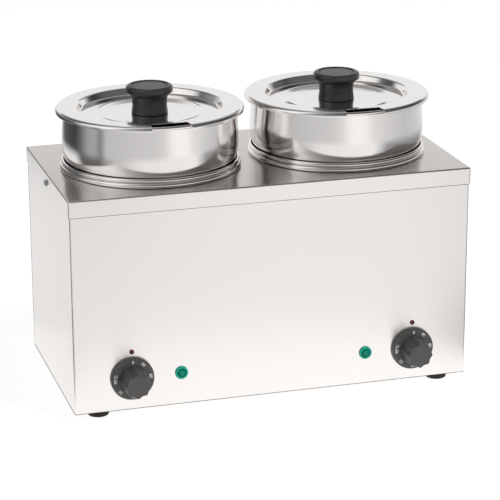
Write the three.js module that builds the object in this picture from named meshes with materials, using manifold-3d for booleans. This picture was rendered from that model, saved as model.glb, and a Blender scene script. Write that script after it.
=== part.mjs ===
// A two-pot soup kettle: a folded stainless case on rubber feet, two heated wells under a
// pressed top tray, and a lift-out pot with a notched lid in each well.
// Units are millimetres, +Z is up and the front faces -Y. The origin is on the floor, under
// the middle of the whole footprint (control knobs and cord gland included).

import * as THREE from 'three';
import { mergeVertices } from 'three/addons/utils/BufferGeometryUtils.js';
import Module from 'manifold-3d';

// ---------------------------------------------------------------- driving sizes: the case
const CASE_BELOW_WELL = 122; // underside of the case to the floor of the wells
const CASE_SIDE_MARGIN = 15.1; // tray beyond the lids, at the sides
const CASE_FRONT_MARGIN = 14.1; // tray beyond the lids, at the front and the back
const CASE_SHEET = 1;
const CASE_BEND = 2; // outside radius of the folded corners
const TRAY_SKIRT = 20.5;
const FIT_GAP = 0.3; // the gap between sheets and parts that touch
const REAR_FLANGE = 14; // width of the wrap's return flanges at the back
const BASE_LIP = 14; // height of the base plate's upturned edge
const VENT_COUNT = 5; // cooling slots in the base, under each well
const VENT_LENGTH = 70;
const VENT_WIDTH = 5;
const VENT_PITCH = 16;

// ---------------------------------------------------------------- feet
const FOOT_HEIGHT = 8;
const FOOT_RADIUS = 14;
const FOOT_TAPER = 1.5;
const FOOT_SIDE_INSET = 33; // foot centre from the sides of the case
const FOOT_FRONT_INSET = 18; // foot centre from the front and the rear
const FOOT_RECESS_CLEARANCE = 1.2; // round the screw head
const FOOT_RECESS_DEPTH = 4.5;
const FOOT_SCREW_RADIUS = 2.2;
const FOOT_SCREW_HEAD_RADIUS = 4.8;
const FOOT_SCREW_HEAD_HEIGHT = 2.6;
const FOOT_SCREW_END = 6; // length of screw above the base plate

// ---------------------------------------------------------------- pots
const POT_RADIUS = 102.6; // outside of the lower body, which hangs in the well
const POT_SHEET = 0.8;
const POT_SEAT_STEP = 2; // the seat's bottom edge outside the lower body
const POT_BULGE_STEP = 5.9; // the widest place outside the lower body
const POT_NECK_STEP = 3.7; // the neck outside the lower body
const POT_SHOULDER_EASE = 0.4; // how far the shoulder is rounder than a straight cone
const POT_SEAT_GAP = 0.35;
const POT_SEAT_OPENING = 0.8; // extra gap at the top of the seat, which shows as a dark line
const POT_DEPTH_BELOW_TRAY = 132;
const POT_CORNER = 14;
const POT_RIM_BEAD = 2.3;
const POT_BULGE_HEIGHT = 34; // above the tray
const POT_SHOULDER_HEIGHT = 19;

// ---------------------------------------------------------------- collars and wells
const COLLAR_WALL = 1;
const COLLAR_RING_WIDTH = 4.7; // from the seat's bottom edge to the outside of the upper bead
const COLLAR_BEAD_STEP = 1.9; // how far the lower bead stands outside the upper one
const COLLAR_BEAD_HEIGHT = 6.4; // lower bead
const COLLAR_RING_HEIGHT = 4.9; // upper bead
const COLLAR_ROUND = 1; // how far the beads' edges are rounded in
const COLLAR_GROOVE = 0.6; // between the beads
const COLLAR_LIP_DEPTH = 8; // how far the collar reaches into the tray opening
const SEAT_WIDTH = 2;
const SEAT_HEIGHT = 3.3;
const WELL_CLEARANCE = 1.2; // between the collar's lip and the well
const WELL_SHEET = 0.8;
const WELL_FLANGE_WIDTH = 9.2;
const WELL_WATER_DEPTH = 12; // water space below the pot
const WELL_CORNER = 12;

// ---------------------------------------------------------------- lids
const LID_CLEARANCE = 4.3; // between the pot's rim bead and the lid's turned-down edge
const LID_GAP = 8.2; // between the two lids
const LID_SHEET = 1;
const LID_TOP_HEIGHT = 76; // top of the flange above the tray
const LID_EDGE_RADIUS = 5.4;
const LID_EDGE_STRAIGHT = 0.4; // straight part of the turned-down edge
const LID_FLANGE_WIDTH = 26.4;
const LID_RECESS_DEPTH = 8;
const LID_RECESS_SLOPE = 4;
const LID_STEP_WIDTH = 22; // floor of the recess, between its slope and the panel's edge
const LID_PANEL_DEPTH = 2;
const LID_PANEL_SLOPE = 2;
const NOTCH_WIDTH = 43; // ladle notch, at its inner edge
const NOTCH_FLARE = 3.5; // how far each side opens out at the lid's edge
const NOTCH_DEPTH = 19.4; // from the lid's edge
const NOTCH_CORNER = 3;

// ---------------------------------------------------------------- lid knobs
const LID_KNOB_HEIGHT = 34.5;
const LID_KNOB_STEM_RADIUS = 21.5;
const LID_KNOB_FOOT_STEP = 0.7; // the foot outside the stem
const LID_KNOB_FOOT_HEIGHT = 4;
const LID_KNOB_FLARE = 2.2; // how far the stem opens out under the cap
const LID_KNOB_FLARE_HEIGHT = 4;
const LID_KNOB_UNDERCUT = 3; // height from the flare to the cap
const LID_KNOB_OVERHANG = 7.1; // the cap outside the stem
const LID_KNOB_CAP_HEIGHT = 9;
const LID_KNOB_ROUND = 3.4; // the cap's rounded edge
const LID_KNOB_RIM = 3.1; // flat rim between the rounded edge and the dish
const LID_KNOB_DISH = 1.4;
const LID_SCREW_RADIUS = 2.2;
const LID_SCREW_HEAD_RADIUS = 4.2;
const LID_SCREW_HEAD_HEIGHT = 2.4;
const LID_SCREW_ENGAGEMENT = 12;
const LID_SCREW_RUNOUT = 1; // bore beyond the end of the screw
const LID_WASHER_RADIUS = 7;
const LID_WASHER_THICKNESS = 0.8;

// ---------------------------------------------------------------- controls on the front
const THERMOSTAT_SIZE = 44;
const THERMOSTAT_DEPTH = 34;
const THERMOSTAT_BUSH_DEPTH = 12;
const THERMOSTAT_RISE = 4; // above the base plate's upturned edge
const DIAL_SIDE_INSET = 72; // dial axes from the sides of the case
const DIAL_RADIUS = 26.5;
const DIAL_EDGE = 3;
const DIAL_CHAMFER = 2;
const DIAL_THICKNESS = 6;
const DIAL_CROWN = 0.3;
const GRIP_RADIUS = 18.5; // corner radius of the octagonal grip, at its root
const GRIP_TAPER = 0.86; // front of the grip over its root
const GRIP_EASE = 0.96; // round that trims the octagon's corners, over its corner radius
const GRIP_FRONT_BEVEL = 1.2;
const GRIP_LENGTH = 26;
const GRIP_SIDES = 8;
const SPINDLE_RADIUS = 3;
const SPINDLE_GRIP = 14; // length of spindle inside the knob
const SPINDLE_RUNOUT = 1; // bore beyond the end of the spindle
const SPINDLE_HOLE_CLEARANCE = 1; // in the front panel
const SPINDLE_RUN = 0.4; // radial clearance of the spindle in its bores
const LAMP_SPACING = 61; // lamp axis from the dial axis
const LAMP_LENS_RADIUS = 5;
const LAMP_LENS_DEPTH = 5;
const LAMP_LENS_CROWN = 1.1;
const LAMP_WALL = 1.2; // barrel round the lens
const LAMP_RIM = 1.8; // flange outside the barrel
const LAMP_FLANGE = 2;
const LAMP_CHAMFER = 1;
const LAMP_BARREL_LENGTH = 22;
const INDEX_GAP = 3.5; // between the dial and the index stud
const INDEX_RADIUS = 3;
const INDEX_CHAMFER = 0.6;
const INDEX_HEAD = 0.9;
const INDEX_STEM_RADIUS = 1.6;
const INDEX_STEM_LENGTH = 5;

// ---------------------------------------------------------------- inside the case
const BULB_RADIUS = 3;
const BULB_LENGTH = 70;
const BULB_GAP = 0.8;
const BULB_DROP = 44; // top of the sensing bulb below the tray
const CAPILLARY_RADIUS = 1.2;
const CAPILLARY_BEND = 6;
const CAPILLARY_LEAD = 8; // straight capillary below the bulb
const HEATER_RING_RADIUS = 62;
const HEATER_TUBE_RADIUS = 4;
const HEATER_PLATE_RADIUS = 78;
const HEATER_PLATE_THICKNESS = 1.5;
const HEATER_STUD_RADIUS = 3;
const HEATER_STUD_END = 3; // stud left showing below its nut
const HEATER_NUT_RADIUS = 6;
const HEATER_NUT_HEIGHT = 5;
const CUTOUT_RADIUS = 8;
const CUTOUT_HEIGHT = 9;
const CUTOUT_OFFSET = 42; // cut-out from the well's axis
const TERMINAL_WIDTH = 62;
const TERMINAL_DEPTH = 22;
const TERMINAL_HEIGHT = 24;
const TERMINAL_STEP = 7;
const TERMINAL_SETBACK = 34; // terminal block from the rear panel
const LOOM_RADIUS = 2.5;
const LOOM_LEAD = 12; // straight lead out of the terminal block
const WIRE_GAP = 1; // wires and capillaries stop this short of what they enter
const EARTH_STUD_RADIUS = 3;
const EARTH_STUD_LENGTH = 14;
const EARTH_STUD_GAP = 21; // from the end of the terminal block
const EARTH_STUD_SETBACK = 17; // from the rear panel

// ---------------------------------------------------------------- gland and screws
const GLAND_HEIGHT = 48;
const GLAND_BORE_RADIUS = 4;
const GLAND_WALL = 4; // thread outside the bore
const GLAND_FLANGE_STEP = 3.5; // flange outside the thread
const GLAND_CAP_STEP = 2; // cap outside the thread
const GLAND_NUT_STEP = 4; // nut outside the thread
const GLAND_NOSE_WALL = 2.6;
const GLAND_NOSE_LENGTH = 4;
const GLAND_FLANGE_THICKNESS = 4;
const GLAND_CAP_LENGTH = 10;
const GLAND_INSIDE = 9;
const GLAND_NUT_THICKNESS = 4;
const PANEL_SCREW_RADIUS = 1.8;
const PANEL_SCREW_HEAD_RADIUS = 4;
const PANEL_SCREW_HEAD_HEIGHT = 2.2;
const PANEL_SCREW_LENGTH = 9;
const SCREW_DOME = 0.7; // flat of a pan head over its width
const REAR_SCREW_MARGIN = 26; // rear screws from the top and the bottom of the panel
const SIDE_SCREW_RISE = 8; // side screws above the lower edge of the skirt

// ---------------------------------------------------------------- facets
const ROUND = 28;
const HIDDEN_ROUND = 20;
const SMALL_ROUND = 12;
const TINY_ROUND = 8;
const WIRE_SIDES = 6;
const WIRE_STEPS = 14;

// ---------------------------------------------------------------- sizes that follow
const SEAT_BOTTOM_RADIUS = POT_RADIUS + POT_SEAT_STEP;
const SEAT_TOP_RADIUS = SEAT_BOTTOM_RADIUS + SEAT_WIDTH;
const COLLAR_RADIUS = SEAT_BOTTOM_RADIUS + COLLAR_RING_WIDTH + COLLAR_BEAD_STEP;
const COLLAR_HEIGHT = COLLAR_BEAD_HEIGHT + COLLAR_RING_HEIGHT;
const OPENING_RADIUS = SEAT_BOTTOM_RADIUS + COLLAR_WALL + FIT_GAP;
const WELL_RADIUS = SEAT_BOTTOM_RADIUS + COLLAR_WALL + WELL_CLEARANCE; // inside of the well
const WELL_FLANGE_RADIUS = WELL_RADIUS + WELL_FLANGE_WIDTH;
const POT_BULGE_RADIUS = POT_RADIUS + POT_BULGE_STEP;
const POT_NECK_RADIUS = POT_RADIUS + POT_NECK_STEP;
const POT_BEAD_RADIUS = POT_NECK_RADIUS - POT_SHEET + POT_RIM_BEAD; // middle of the rim bead
const LID_RADIUS = POT_BEAD_RADIUS + POT_RIM_BEAD + LID_CLEARANCE + LID_SHEET;
const LID_LIP_HEIGHT = LID_EDGE_RADIUS + LID_EDGE_STRAIGHT;
const LID_RECESS_RADIUS = LID_RADIUS - LID_FLANGE_WIDTH;
const LID_PANEL_RADIUS = LID_RECESS_RADIUS - LID_RECESS_SLOPE - LID_STEP_WIDTH;
const WELL_X = LID_RADIUS + LID_GAP / 2;
const HALF_WIDTH = WELL_X + LID_RADIUS + CASE_SIDE_MARGIN;
const HALF_DEPTH = LID_RADIUS + CASE_FRONT_MARGIN;
const TRAY_Z = FOOT_HEIGHT + CASE_BELOW_WELL + WELL_WATER_DEPTH + POT_DEPTH_BELOW_TRAY;
const STEP_IN = CASE_SHEET + FIT_GAP; // one sheet and one gap
const WRAP_HALF_WIDTH = HALF_WIDTH - STEP_IN;
const FRONT_Y = -HALF_DEPTH + STEP_IN; // outside of the front panel
const REAR_Y = HALF_DEPTH - STEP_IN; // outside of the rear panel
const FRONT_INSIDE_Y = FRONT_Y + CASE_SHEET;
const WRAP_TOP_Z = TRAY_Z - STEP_IN;
const FLANGE_Y = REAR_Y - STEP_IN; // outside of the wrap's rear flanges
const CONTROL_HEIGHT = FOOT_HEIGHT + BASE_LIP + THERMOSTAT_RISE + THERMOSTAT_SIZE / 2;
const DIAL_X = HALF_WIDTH - DIAL_SIDE_INSET;
const LAMP_X = DIAL_X - LAMP_SPACING;
const LAMP_BARREL_RADIUS = LAMP_LENS_RADIUS + LAMP_WALL;
const LAMP_RADIUS = LAMP_BARREL_RADIUS + LAMP_RIM;
const INDEX_HEIGHT = DIAL_RADIUS + INDEX_GAP + INDEX_RADIUS; // above the dial axis
const SIDE_SCREW_Z = TRAY_Z - TRAY_SKIRT + SIDE_SCREW_RISE;
const THERMOSTAT_BACK_Y = FRONT_INSIDE_Y + FIT_GAP + THERMOSTAT_DEPTH + WIRE_GAP;
const WELL_FLOOR_Z = -POT_DEPTH_BELOW_TRAY - WELL_WATER_DEPTH; // from the tray
const WELL_UNDER_Z = WELL_FLOOR_Z - WELL_SHEET;
const HEATER_Z = WELL_UNDER_Z - FIT_GAP - HEATER_TUBE_RADIUS;
const PLATE_Z = HEATER_Z - HEATER_TUBE_RADIUS - FIT_GAP;
const PLATE_UNDER_Z = PLATE_Z - HEATER_PLATE_THICKNESS;
const NUT_UNDER_Z = PLATE_UNDER_Z - FIT_GAP - HEATER_NUT_HEIGHT;
const LID_FLOOR_Z = LID_TOP_HEIGHT - LID_RECESS_DEPTH - LID_PANEL_DEPTH;
const POT_RIM_Z = LID_TOP_HEIGHT - LID_SHEET - FIT_GAP;
const GLAND_THREAD_RADIUS = GLAND_BORE_RADIUS + GLAND_WALL;
const KNOB_PROJECTION = FIT_GAP + DIAL_THICKNESS + GRIP_LENGTH;
const GLAND_PROJECTION = FIT_GAP + GLAND_FLANGE_THICKNESS + GLAND_CAP_LENGTH;
const FRONT_LIMIT = FRONT_Y - KNOB_PROJECTION;
const REAR_LIMIT = REAR_Y + GLAND_PROJECTION;
const SIDES = [{ name: 'left', sign: -1 }, { name: 'right', sign: 1 }];
const CORNERS = [
  { name: 'front_left', x: -1, y: -1 }, { name: 'front_right', x: 1, y: -1 },
  { name: 'rear_left', x: -1, y: 1 }, { name: 'rear_right', x: 1, y: 1 },
];

// ---------------------------------------------------------------- finishes
const finish = (color, roughness, metalness) => (
  new THREE.MeshStandardMaterial({ color, roughness, metalness, flatShading: true }));
const BRUSHED_STEEL = finish(0xd8d4d1, 0.35, 1);
const POLISHED_STEEL = finish(0xdcdad8, 0.14, 1);
const ZINC = finish(0xb9b8b2, 0.4, 1);
const BLACK_PLASTIC = finish(0x2c2a2a, 0.45, 0);
const RUBBER = finish(0x1c1c1c, 0.8, 0);
const GREEN_LENS = finish(0x12a07c, 0.2, 0);
const GREEN_PLASTIC = finish(0x0b5f4c, 0.35, 0);
const RED_PLASTIC = finish(0x5e1b20, 0.4, 0);
const BEIGE_PLASTIC = finish(0xd9cfb8, 0.6, 0);
const COPPER = finish(0xb87048, 0.35, 1);
const HEATER_STEEL = finish(0x7d7872, 0.5, 1);
const GREY_INSULATION = finish(0x8d8d8f, 0.7, 0);

// ---------------------------------------------------------------- solids
const wasm = await Module();
wasm.setup();

// Merges shared corners, drops collapsed triangles and turns the faces outward.
function closedBody(geometry) {
  const bare = new THREE.BufferGeometry();
  bare.setAttribute('position', geometry.getAttribute('position'));
  if (geometry.index) bare.setIndex(geometry.index);
  const merged = mergeVertices(bare, 1e-4);
  const corners = merged.index.array;
  const kept = [];
  for (let i = 0; i < corners.length; i += 3) {
    const [a, b, c] = [corners[i], corners[i + 1], corners[i + 2]];
    if (a !== b && b !== c && c !== a) kept.push(a, b, c);
  }
  if (signedVolume(merged.getAttribute('position'), kept) < 0) kept.reverse();
  merged.setIndex(kept);
  return merged;
}

function signedVolume(position, corners) {
  const [a, b, c] = [new THREE.Vector3(), new THREE.Vector3(), new THREE.Vector3()];
  let volume = 0;
  for (let i = 0; i < corners.length; i += 3) {
    a.fromBufferAttribute(position, corners[i]);
    b.fromBufferAttribute(position, corners[i + 1]);
    c.fromBufferAttribute(position, corners[i + 2]);
    volume += a.dot(b.cross(c)) / 6;
  }
  return volume;
}

function toManifold(geometry) {
  const body = closedBody(geometry);
  return new wasm.Manifold(new wasm.Mesh({
    numProp: 3,
    vertProperties: new Float32Array(body.getAttribute('position').array),
    triVerts: new Uint32Array(body.index.array),
  }));
}

function fromManifold(manifold) {
  const mesh = manifold.getMesh();
  const geometry = new THREE.BufferGeometry();
  geometry.setAttribute('position', new THREE.BufferAttribute(mesh.vertProperties, 3));
  geometry.setIndex(new THREE.BufferAttribute(mesh.triVerts, 1));
  return geometry;
}

function cut(geometry, ...tools) {
  const result = tools.reduce((left, tool) => left.subtract(toManifold(tool)), toManifold(geometry));
  return fromManifold(result);
}

function join(geometry, ...others) {
  const result = others.reduce((whole, other) => whole.add(toManifold(other)), toManifold(geometry));
  return fromManifold(result);
}

// ---------------------------------------------------------------- shapes
const at = (r, z) => new THREE.Vector2(r, z);

function arc(r, z, radius, fromDegrees, toDegrees, steps) {
  return Array.from({ length: steps + 1 }, (_, i) => {
    const angle = THREE.MathUtils.degToRad(fromDegrees + (toDegrees - fromDegrees) * i / steps);
    return at(r + radius * Math.cos(angle), z + radius * Math.sin(angle));
  });
}

// Turns a closed outline, or one that starts and ends on the axis, about +Z.
function turned(outline, segments, z = 0) {
  const geometry = new THREE.LatheGeometry(outline, segments);
  geometry.rotateX(Math.PI / 2);
  geometry.translate(0, 0, z);
  return geometry;
}

// The outline of a sheet: a line of points, and the same line moved to its right by the gauge.
// A line that starts on the axis gives an outline that starts and ends there.
function sheetOutline(line, gauge) {
  const runs = line.slice(1).map((point, i) => point.clone().sub(line[i]).normalize());
  const moved = line.map((point, i) => {
    const after = runs[Math.min(i, runs.length - 1)];
    const mean = runs[Math.max(i - 1, 0)].clone().add(after).normalize();
    const reach = gauge / mean.dot(after);
    return at(Math.max(point.x + mean.y * reach, 0), point.y - mean.x * reach);
  });
  const outline = [...line, ...moved.reverse()];
  return line[0].x === 0 ? outline : [...outline, line[0].clone()];
}

const ring = (inner, outer, low, high) => (
  [at(inner, low), at(outer, low), at(outer, high), at(inner, high), at(inner, low)]);

const disc = (radius, low, high) => [at(0, low), at(radius, low), at(radius, high), at(0, high)];

function box(x0, x1, y0, y1, z0, z1) {
  const geometry = new THREE.BoxGeometry(x1 - x0, y1 - y0, z1 - z0);
  geometry.translate((x0 + x1) / 2, (y0 + y1) / 2, (z0 + z1) / 2);
  return geometry;
}

// A round bar along Y, used as a hole cutter.
function barAlongY(radius, x, z, y0, y1, segments = SMALL_ROUND) {
  const geometry = new THREE.CylinderGeometry(radius, radius, y1 - y0, segments);
  geometry.translate(x, (y0 + y1) / 2, z);
  return geometry;
}

function barAlongX(radius, y, z, x0, x1) {
  const geometry = barAlongY(radius, 0, 0, x0, x1);
  geometry.rotateZ(-Math.PI / 2);
  geometry.translate(0, y, z);
  return geometry;
}

function barAlongZ(radius, x, y, z0, z1, segments = SMALL_ROUND) {
  return turned(disc(radius, z0, z1), segments).translate(x, y, 0);
}

function prism(outline, z0, z1) {
  const geometry = new THREE.ExtrudeGeometry(new THREE.Shape(outline), {
    depth: z1 - z0, bevelEnabled: false,
  });
  return geometry.translate(0, 0, z0);
}

// A rectangle with rounded corners, centred on x = 0.
function roundedRectangle(halfWidth, y0, y1, radius) {
  const corner = (x, y, from) => arc(x, y, radius, from, from + 90, 2);
  return [
    ...corner(halfWidth - radius, y0 + radius, -90),
    ...corner(halfWidth - radius, y1 - radius, 0),
    ...corner(-halfWidth + radius, y1 - radius, 90),
    ...corner(-halfWidth + radius, y0 + radius, 180),
  ];
}

function tubeAlong(points, radius) {
  const lastCorner = 360 - 360 / WIRE_SIDES;
  const section = new THREE.Shape(arc(0, 0, radius, 0, lastCorner, WIRE_SIDES - 1));
  const path = new THREE.CatmullRomCurve3(points.map((p) => new THREE.Vector3(...p)));
  return new THREE.ExtrudeGeometry(section, { steps: WIRE_STEPS, bevelEnabled: false, extrudePath: path });
}

// ---------------------------------------------------------------- the object
const kettle = new THREE.Group();
kettle.position.y = -(FRONT_LIMIT + REAR_LIMIT) / 2;

function add(name, geometry, material, x = 0, y = 0, z = 0) {
  const mesh = new THREE.Mesh(closedBody(geometry), material);
  mesh.name = name;
  mesh.position.set(x, y, z);
  kettle.add(mesh);
}

// Turns a part made about +Z so that its +Z points out of the front panel.
const facingFront = (geometry) => geometry.rotateX(Math.PI / 2);
const facingRear = (geometry) => geometry.rotateX(-Math.PI / 2);

// ---------------------------------------------------------------- case shells
function rearScrewPlaces() {
  const x = WRAP_HALF_WIDTH - CASE_SHEET - REAR_FLANGE / 2;
  const low = FOOT_HEIGHT + REAR_SCREW_MARGIN;
  const high = WRAP_TOP_Z - REAR_SCREW_MARGIN;
  return SIDES.flatMap(({ name, sign }) => [
    { name: `rear_lower_${name}`, x: sign * x, z: low },
    { name: `rear_upper_${name}`, x: sign * x, z: high },
  ]);
}

function frontHoles() {
  const through = [FRONT_Y - CASE_SHEET, FRONT_Y + 2 * CASE_SHEET];
  return SIDES.flatMap(({ sign }) => [
    barAlongY(SPINDLE_RADIUS + SPINDLE_HOLE_CLEARANCE, sign * DIAL_X, CONTROL_HEIGHT, ...through),
    barAlongY(LAMP_BARREL_RADIUS + FIT_GAP, sign * LAMP_X, CONTROL_HEIGHT, ...through),
    barAlongY(INDEX_STEM_RADIUS + FIT_GAP, sign * DIAL_X, CONTROL_HEIGHT + INDEX_HEIGHT, ...through),
  ]);
}

// Front, sides and return flanges, folded from one sheet.
function makeWrap() {
  const outside = roundedRectangle(WRAP_HALF_WIDTH, FRONT_Y, FLANGE_Y, CASE_BEND);
  const inside = roundedRectangle(
    WRAP_HALF_WIDTH - CASE_SHEET, FRONT_INSIDE_Y, FLANGE_Y - CASE_SHEET, CASE_BEND - CASE_SHEET);
  const back = WRAP_HALF_WIDTH - CASE_SHEET - REAR_FLANGE;
  const tools = [
    prism(inside, FOOT_HEIGHT - CASE_SHEET, WRAP_TOP_Z + CASE_SHEET),
    box(-back, back, FLANGE_Y - 2 * CASE_SHEET, FLANGE_Y + CASE_SHEET,
      FOOT_HEIGHT - CASE_SHEET, WRAP_TOP_Z + CASE_SHEET),
    ...frontHoles(),
    ...rearScrewPlaces().map(({ x, z }) => (
      barAlongY(PANEL_SCREW_RADIUS + FIT_GAP, x, z, FLANGE_Y - 2 * CASE_SHEET, REAR_Y, TINY_ROUND))),
    barAlongX(PANEL_SCREW_RADIUS + FIT_GAP, 0, SIDE_SCREW_Z, -2 * HALF_WIDTH, 2 * HALF_WIDTH),
  ];
  return cut(prism(outside, FOOT_HEIGHT, WRAP_TOP_Z), ...tools);
}

function makeRearPanel() {
  const panel = box(-WRAP_HALF_WIDTH, WRAP_HALF_WIDTH, REAR_Y - CASE_SHEET, REAR_Y,
    FOOT_HEIGHT, WRAP_TOP_Z);
  return cut(panel,
    barAlongY(GLAND_THREAD_RADIUS + FIT_GAP, 0, GLAND_HEIGHT, FLANGE_Y, HALF_DEPTH),
    ...rearScrewPlaces().map(({ x, z }) => (
      barAlongY(PANEL_SCREW_RADIUS + FIT_GAP, x, z, FLANGE_Y, HALF_DEPTH, TINY_ROUND))));
}

function footPlace(corner) {
  return [corner.x * (HALF_WIDTH - FOOT_SIDE_INSET), corner.y * (HALF_DEPTH - FOOT_FRONT_INSET)];
}

// Rows of cooling slots under each well.
function ventSlots() {
  const offsets = Array.from({ length: VENT_COUNT }, (_, i) => (i - (VENT_COUNT - 1) / 2) * VENT_PITCH);
  return SIDES.flatMap(({ sign }) => offsets.map((offset) => box(
    sign * WELL_X - VENT_LENGTH / 2, sign * WELL_X + VENT_LENGTH / 2,
    offset - VENT_WIDTH / 2, offset + VENT_WIDTH / 2, 0, FOOT_HEIGHT + 2 * CASE_SHEET)));
}

function makeBasePlate() {
  const halfWidth = WRAP_HALF_WIDTH - STEP_IN;
  const [front, rear] = [FRONT_INSIDE_Y + FIT_GAP, FLANGE_Y - CASE_SHEET - FIT_GAP];
  const floor = FOOT_HEIGHT + CASE_SHEET;
  return cut(
    prism(roundedRectangle(halfWidth, front, rear, CASE_BEND), FOOT_HEIGHT, FOOT_HEIGHT + BASE_LIP),
    box(-halfWidth + CASE_SHEET, halfWidth - CASE_SHEET, front + CASE_SHEET, rear - CASE_SHEET,
      floor, floor + BASE_LIP),
    ...CORNERS.map((corner) => barAlongZ(FOOT_SCREW_RADIUS + FIT_GAP, ...footPlace(corner),
      0, floor + CASE_SHEET, TINY_ROUND)),
    ...ventSlots());
}

// The top sheet with its skirt; the side screws pass through the skirt.
function makeTray() {
  const outer = roundedRectangle(HALF_WIDTH, -HALF_DEPTH, HALF_DEPTH, CASE_BEND);
  const inner = roundedRectangle(HALF_WIDTH - CASE_SHEET, -HALF_DEPTH + CASE_SHEET,
    HALF_DEPTH - CASE_SHEET, CASE_BEND - CASE_SHEET);
  return cut(
    prism(outer, TRAY_Z - TRAY_SKIRT, TRAY_Z),
    prism(inner, TRAY_Z - TRAY_SKIRT - CASE_SHEET, TRAY_Z - CASE_SHEET),
    ...SIDES.map(({ sign }) => barAlongZ(OPENING_RADIUS, sign * WELL_X, 0,
      TRAY_Z - 2 * CASE_SHEET, TRAY_Z + CASE_SHEET, ROUND)),
    barAlongX(PANEL_SCREW_RADIUS + FIT_GAP, 0, SIDE_SCREW_Z, -2 * HALF_WIDTH, 2 * HALF_WIDTH));
}

// A pan-head screw about +Z, with the underside of its head at z = 0.
function panScrew(shankRadius, headRadius, headHeight, length) {
  return turned([
    at(0, -length), at(shankRadius, -length), at(shankRadius, 0), at(headRadius, 0),
    at(headRadius, headHeight / 2), at(headRadius * SCREW_DOME, headHeight), at(0, headHeight),
  ], TINY_ROUND);
}

function addCase() {
  add('front_side_wrap', makeWrap(), BRUSHED_STEEL);
  add('rear_panel', makeRearPanel(), BRUSHED_STEEL);
  add('base_plate', makeBasePlate(), BRUSHED_STEEL);
  add('top_tray', makeTray(), BRUSHED_STEEL);
  const screw = [PANEL_SCREW_RADIUS, PANEL_SCREW_HEAD_RADIUS, PANEL_SCREW_HEAD_HEIGHT, PANEL_SCREW_LENGTH];
  for (const { name, x, z } of rearScrewPlaces()) {
    add(`${name}_screw`, facingRear(panScrew(...screw)), ZINC, x, REAR_Y + FIT_GAP, z);
  }
  for (const { name, sign } of SIDES) {
    const side = panScrew(...screw).rotateY(sign * Math.PI / 2);
    add(`${name}_tray_screw`, side, ZINC, sign * (HALF_WIDTH + FIT_GAP), 0, SIDE_SCREW_Z);
  }
}

// ---------------------------------------------------------------- feet
function makeFoot() {
  const hole = FOOT_SCREW_RADIUS + FIT_GAP;
  const recess = FOOT_SCREW_HEAD_RADIUS + FOOT_RECESS_CLEARANCE;
  return turned([
    at(recess, 0), at(FOOT_RADIUS - FOOT_TAPER, 0),
    at(FOOT_RADIUS, FOOT_HEIGHT - FIT_GAP), at(hole, FOOT_HEIGHT - FIT_GAP),
    at(hole, FOOT_RECESS_DEPTH), at(recess, FOOT_RECESS_DEPTH), at(recess, 0),
  ], SMALL_ROUND);
}

function addFeet() {
  const length = FOOT_HEIGHT - FOOT_RECESS_DEPTH + CASE_SHEET + FOOT_SCREW_END;
  const underHead = FOOT_RECESS_DEPTH - FIT_GAP;
  for (const corner of CORNERS) {
    const place = footPlace(corner);
    add(`${corner.name}_foot`, makeFoot(), RUBBER, ...place);
    const screw = panScrew(FOOT_SCREW_RADIUS, FOOT_SCREW_HEAD_RADIUS, FOOT_SCREW_HEAD_HEIGHT, length);
    add(`${corner.name}_foot_screw`, screw.rotateX(Math.PI), ZINC, ...place, underHead);
  }
}

// ---------------------------------------------------------------- wells, collars, heaters
// All heights from here to the lids are measured from the top of the tray.
function makeCollar() {
  const bead = COLLAR_RADIUS - COLLAR_BEAD_STEP;
  const lip = SEAT_BOTTOM_RADIUS + COLLAR_WALL;
  return turned([
    at(SEAT_BOTTOM_RADIUS, -COLLAR_LIP_DEPTH), at(lip, -COLLAR_LIP_DEPTH), at(lip, FIT_GAP),
    at(COLLAR_RADIUS - COLLAR_ROUND, FIT_GAP), at(COLLAR_RADIUS, 2 * COLLAR_ROUND),
    at(COLLAR_RADIUS, COLLAR_BEAD_HEIGHT - 2 * COLLAR_ROUND),
    at(COLLAR_RADIUS - COLLAR_ROUND, COLLAR_BEAD_HEIGHT),
    at(bead - COLLAR_GROOVE, COLLAR_BEAD_HEIGHT + COLLAR_GROOVE),
    at(bead, COLLAR_HEIGHT - 2 * COLLAR_ROUND),
    at(bead - COLLAR_ROUND, COLLAR_HEIGHT - COLLAR_ROUND / 2),
    at(SEAT_TOP_RADIUS, COLLAR_HEIGHT), at(SEAT_BOTTOM_RADIUS, COLLAR_HEIGHT - SEAT_HEIGHT),
    at(SEAT_BOTTOM_RADIUS, -COLLAR_LIP_DEPTH),
  ], ROUND);
}

// A deep-drawn well hung from its flange, with the heater stud welded under its middle.
function makeWell() {
  const shell = turned(sheetOutline([
    at(0, WELL_FLOOR_Z),
    ...arc(WELL_RADIUS - WELL_CORNER, WELL_FLOOR_Z + WELL_CORNER, WELL_CORNER, -90, 0, 2),
    at(WELL_RADIUS, -STEP_IN), at(WELL_FLANGE_RADIUS, -STEP_IN),
  ], WELL_SHEET), ROUND);
  const studTop = WELL_FLOOR_Z - WELL_SHEET / 2;
  return join(shell, barAlongZ(HEATER_STUD_RADIUS, 0, 0, NUT_UNDER_Z - HEATER_STUD_END, studTop,
    TINY_ROUND));
}

function makeHeaterNut() {
  const hexagon = new THREE.CylinderGeometry(HEATER_NUT_RADIUS, HEATER_NUT_RADIUS, HEATER_NUT_HEIGHT, 6);
  hexagon.rotateX(Math.PI / 2);
  hexagon.translate(0, 0, NUT_UNDER_Z + HEATER_NUT_HEIGHT / 2);
  return cut(hexagon, barAlongZ(HEATER_STUD_RADIUS + FIT_GAP, 0, 0,
    NUT_UNDER_Z - FIT_GAP, NUT_UNDER_Z + HEATER_NUT_HEIGHT + FIT_GAP, TINY_ROUND));
}

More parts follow.
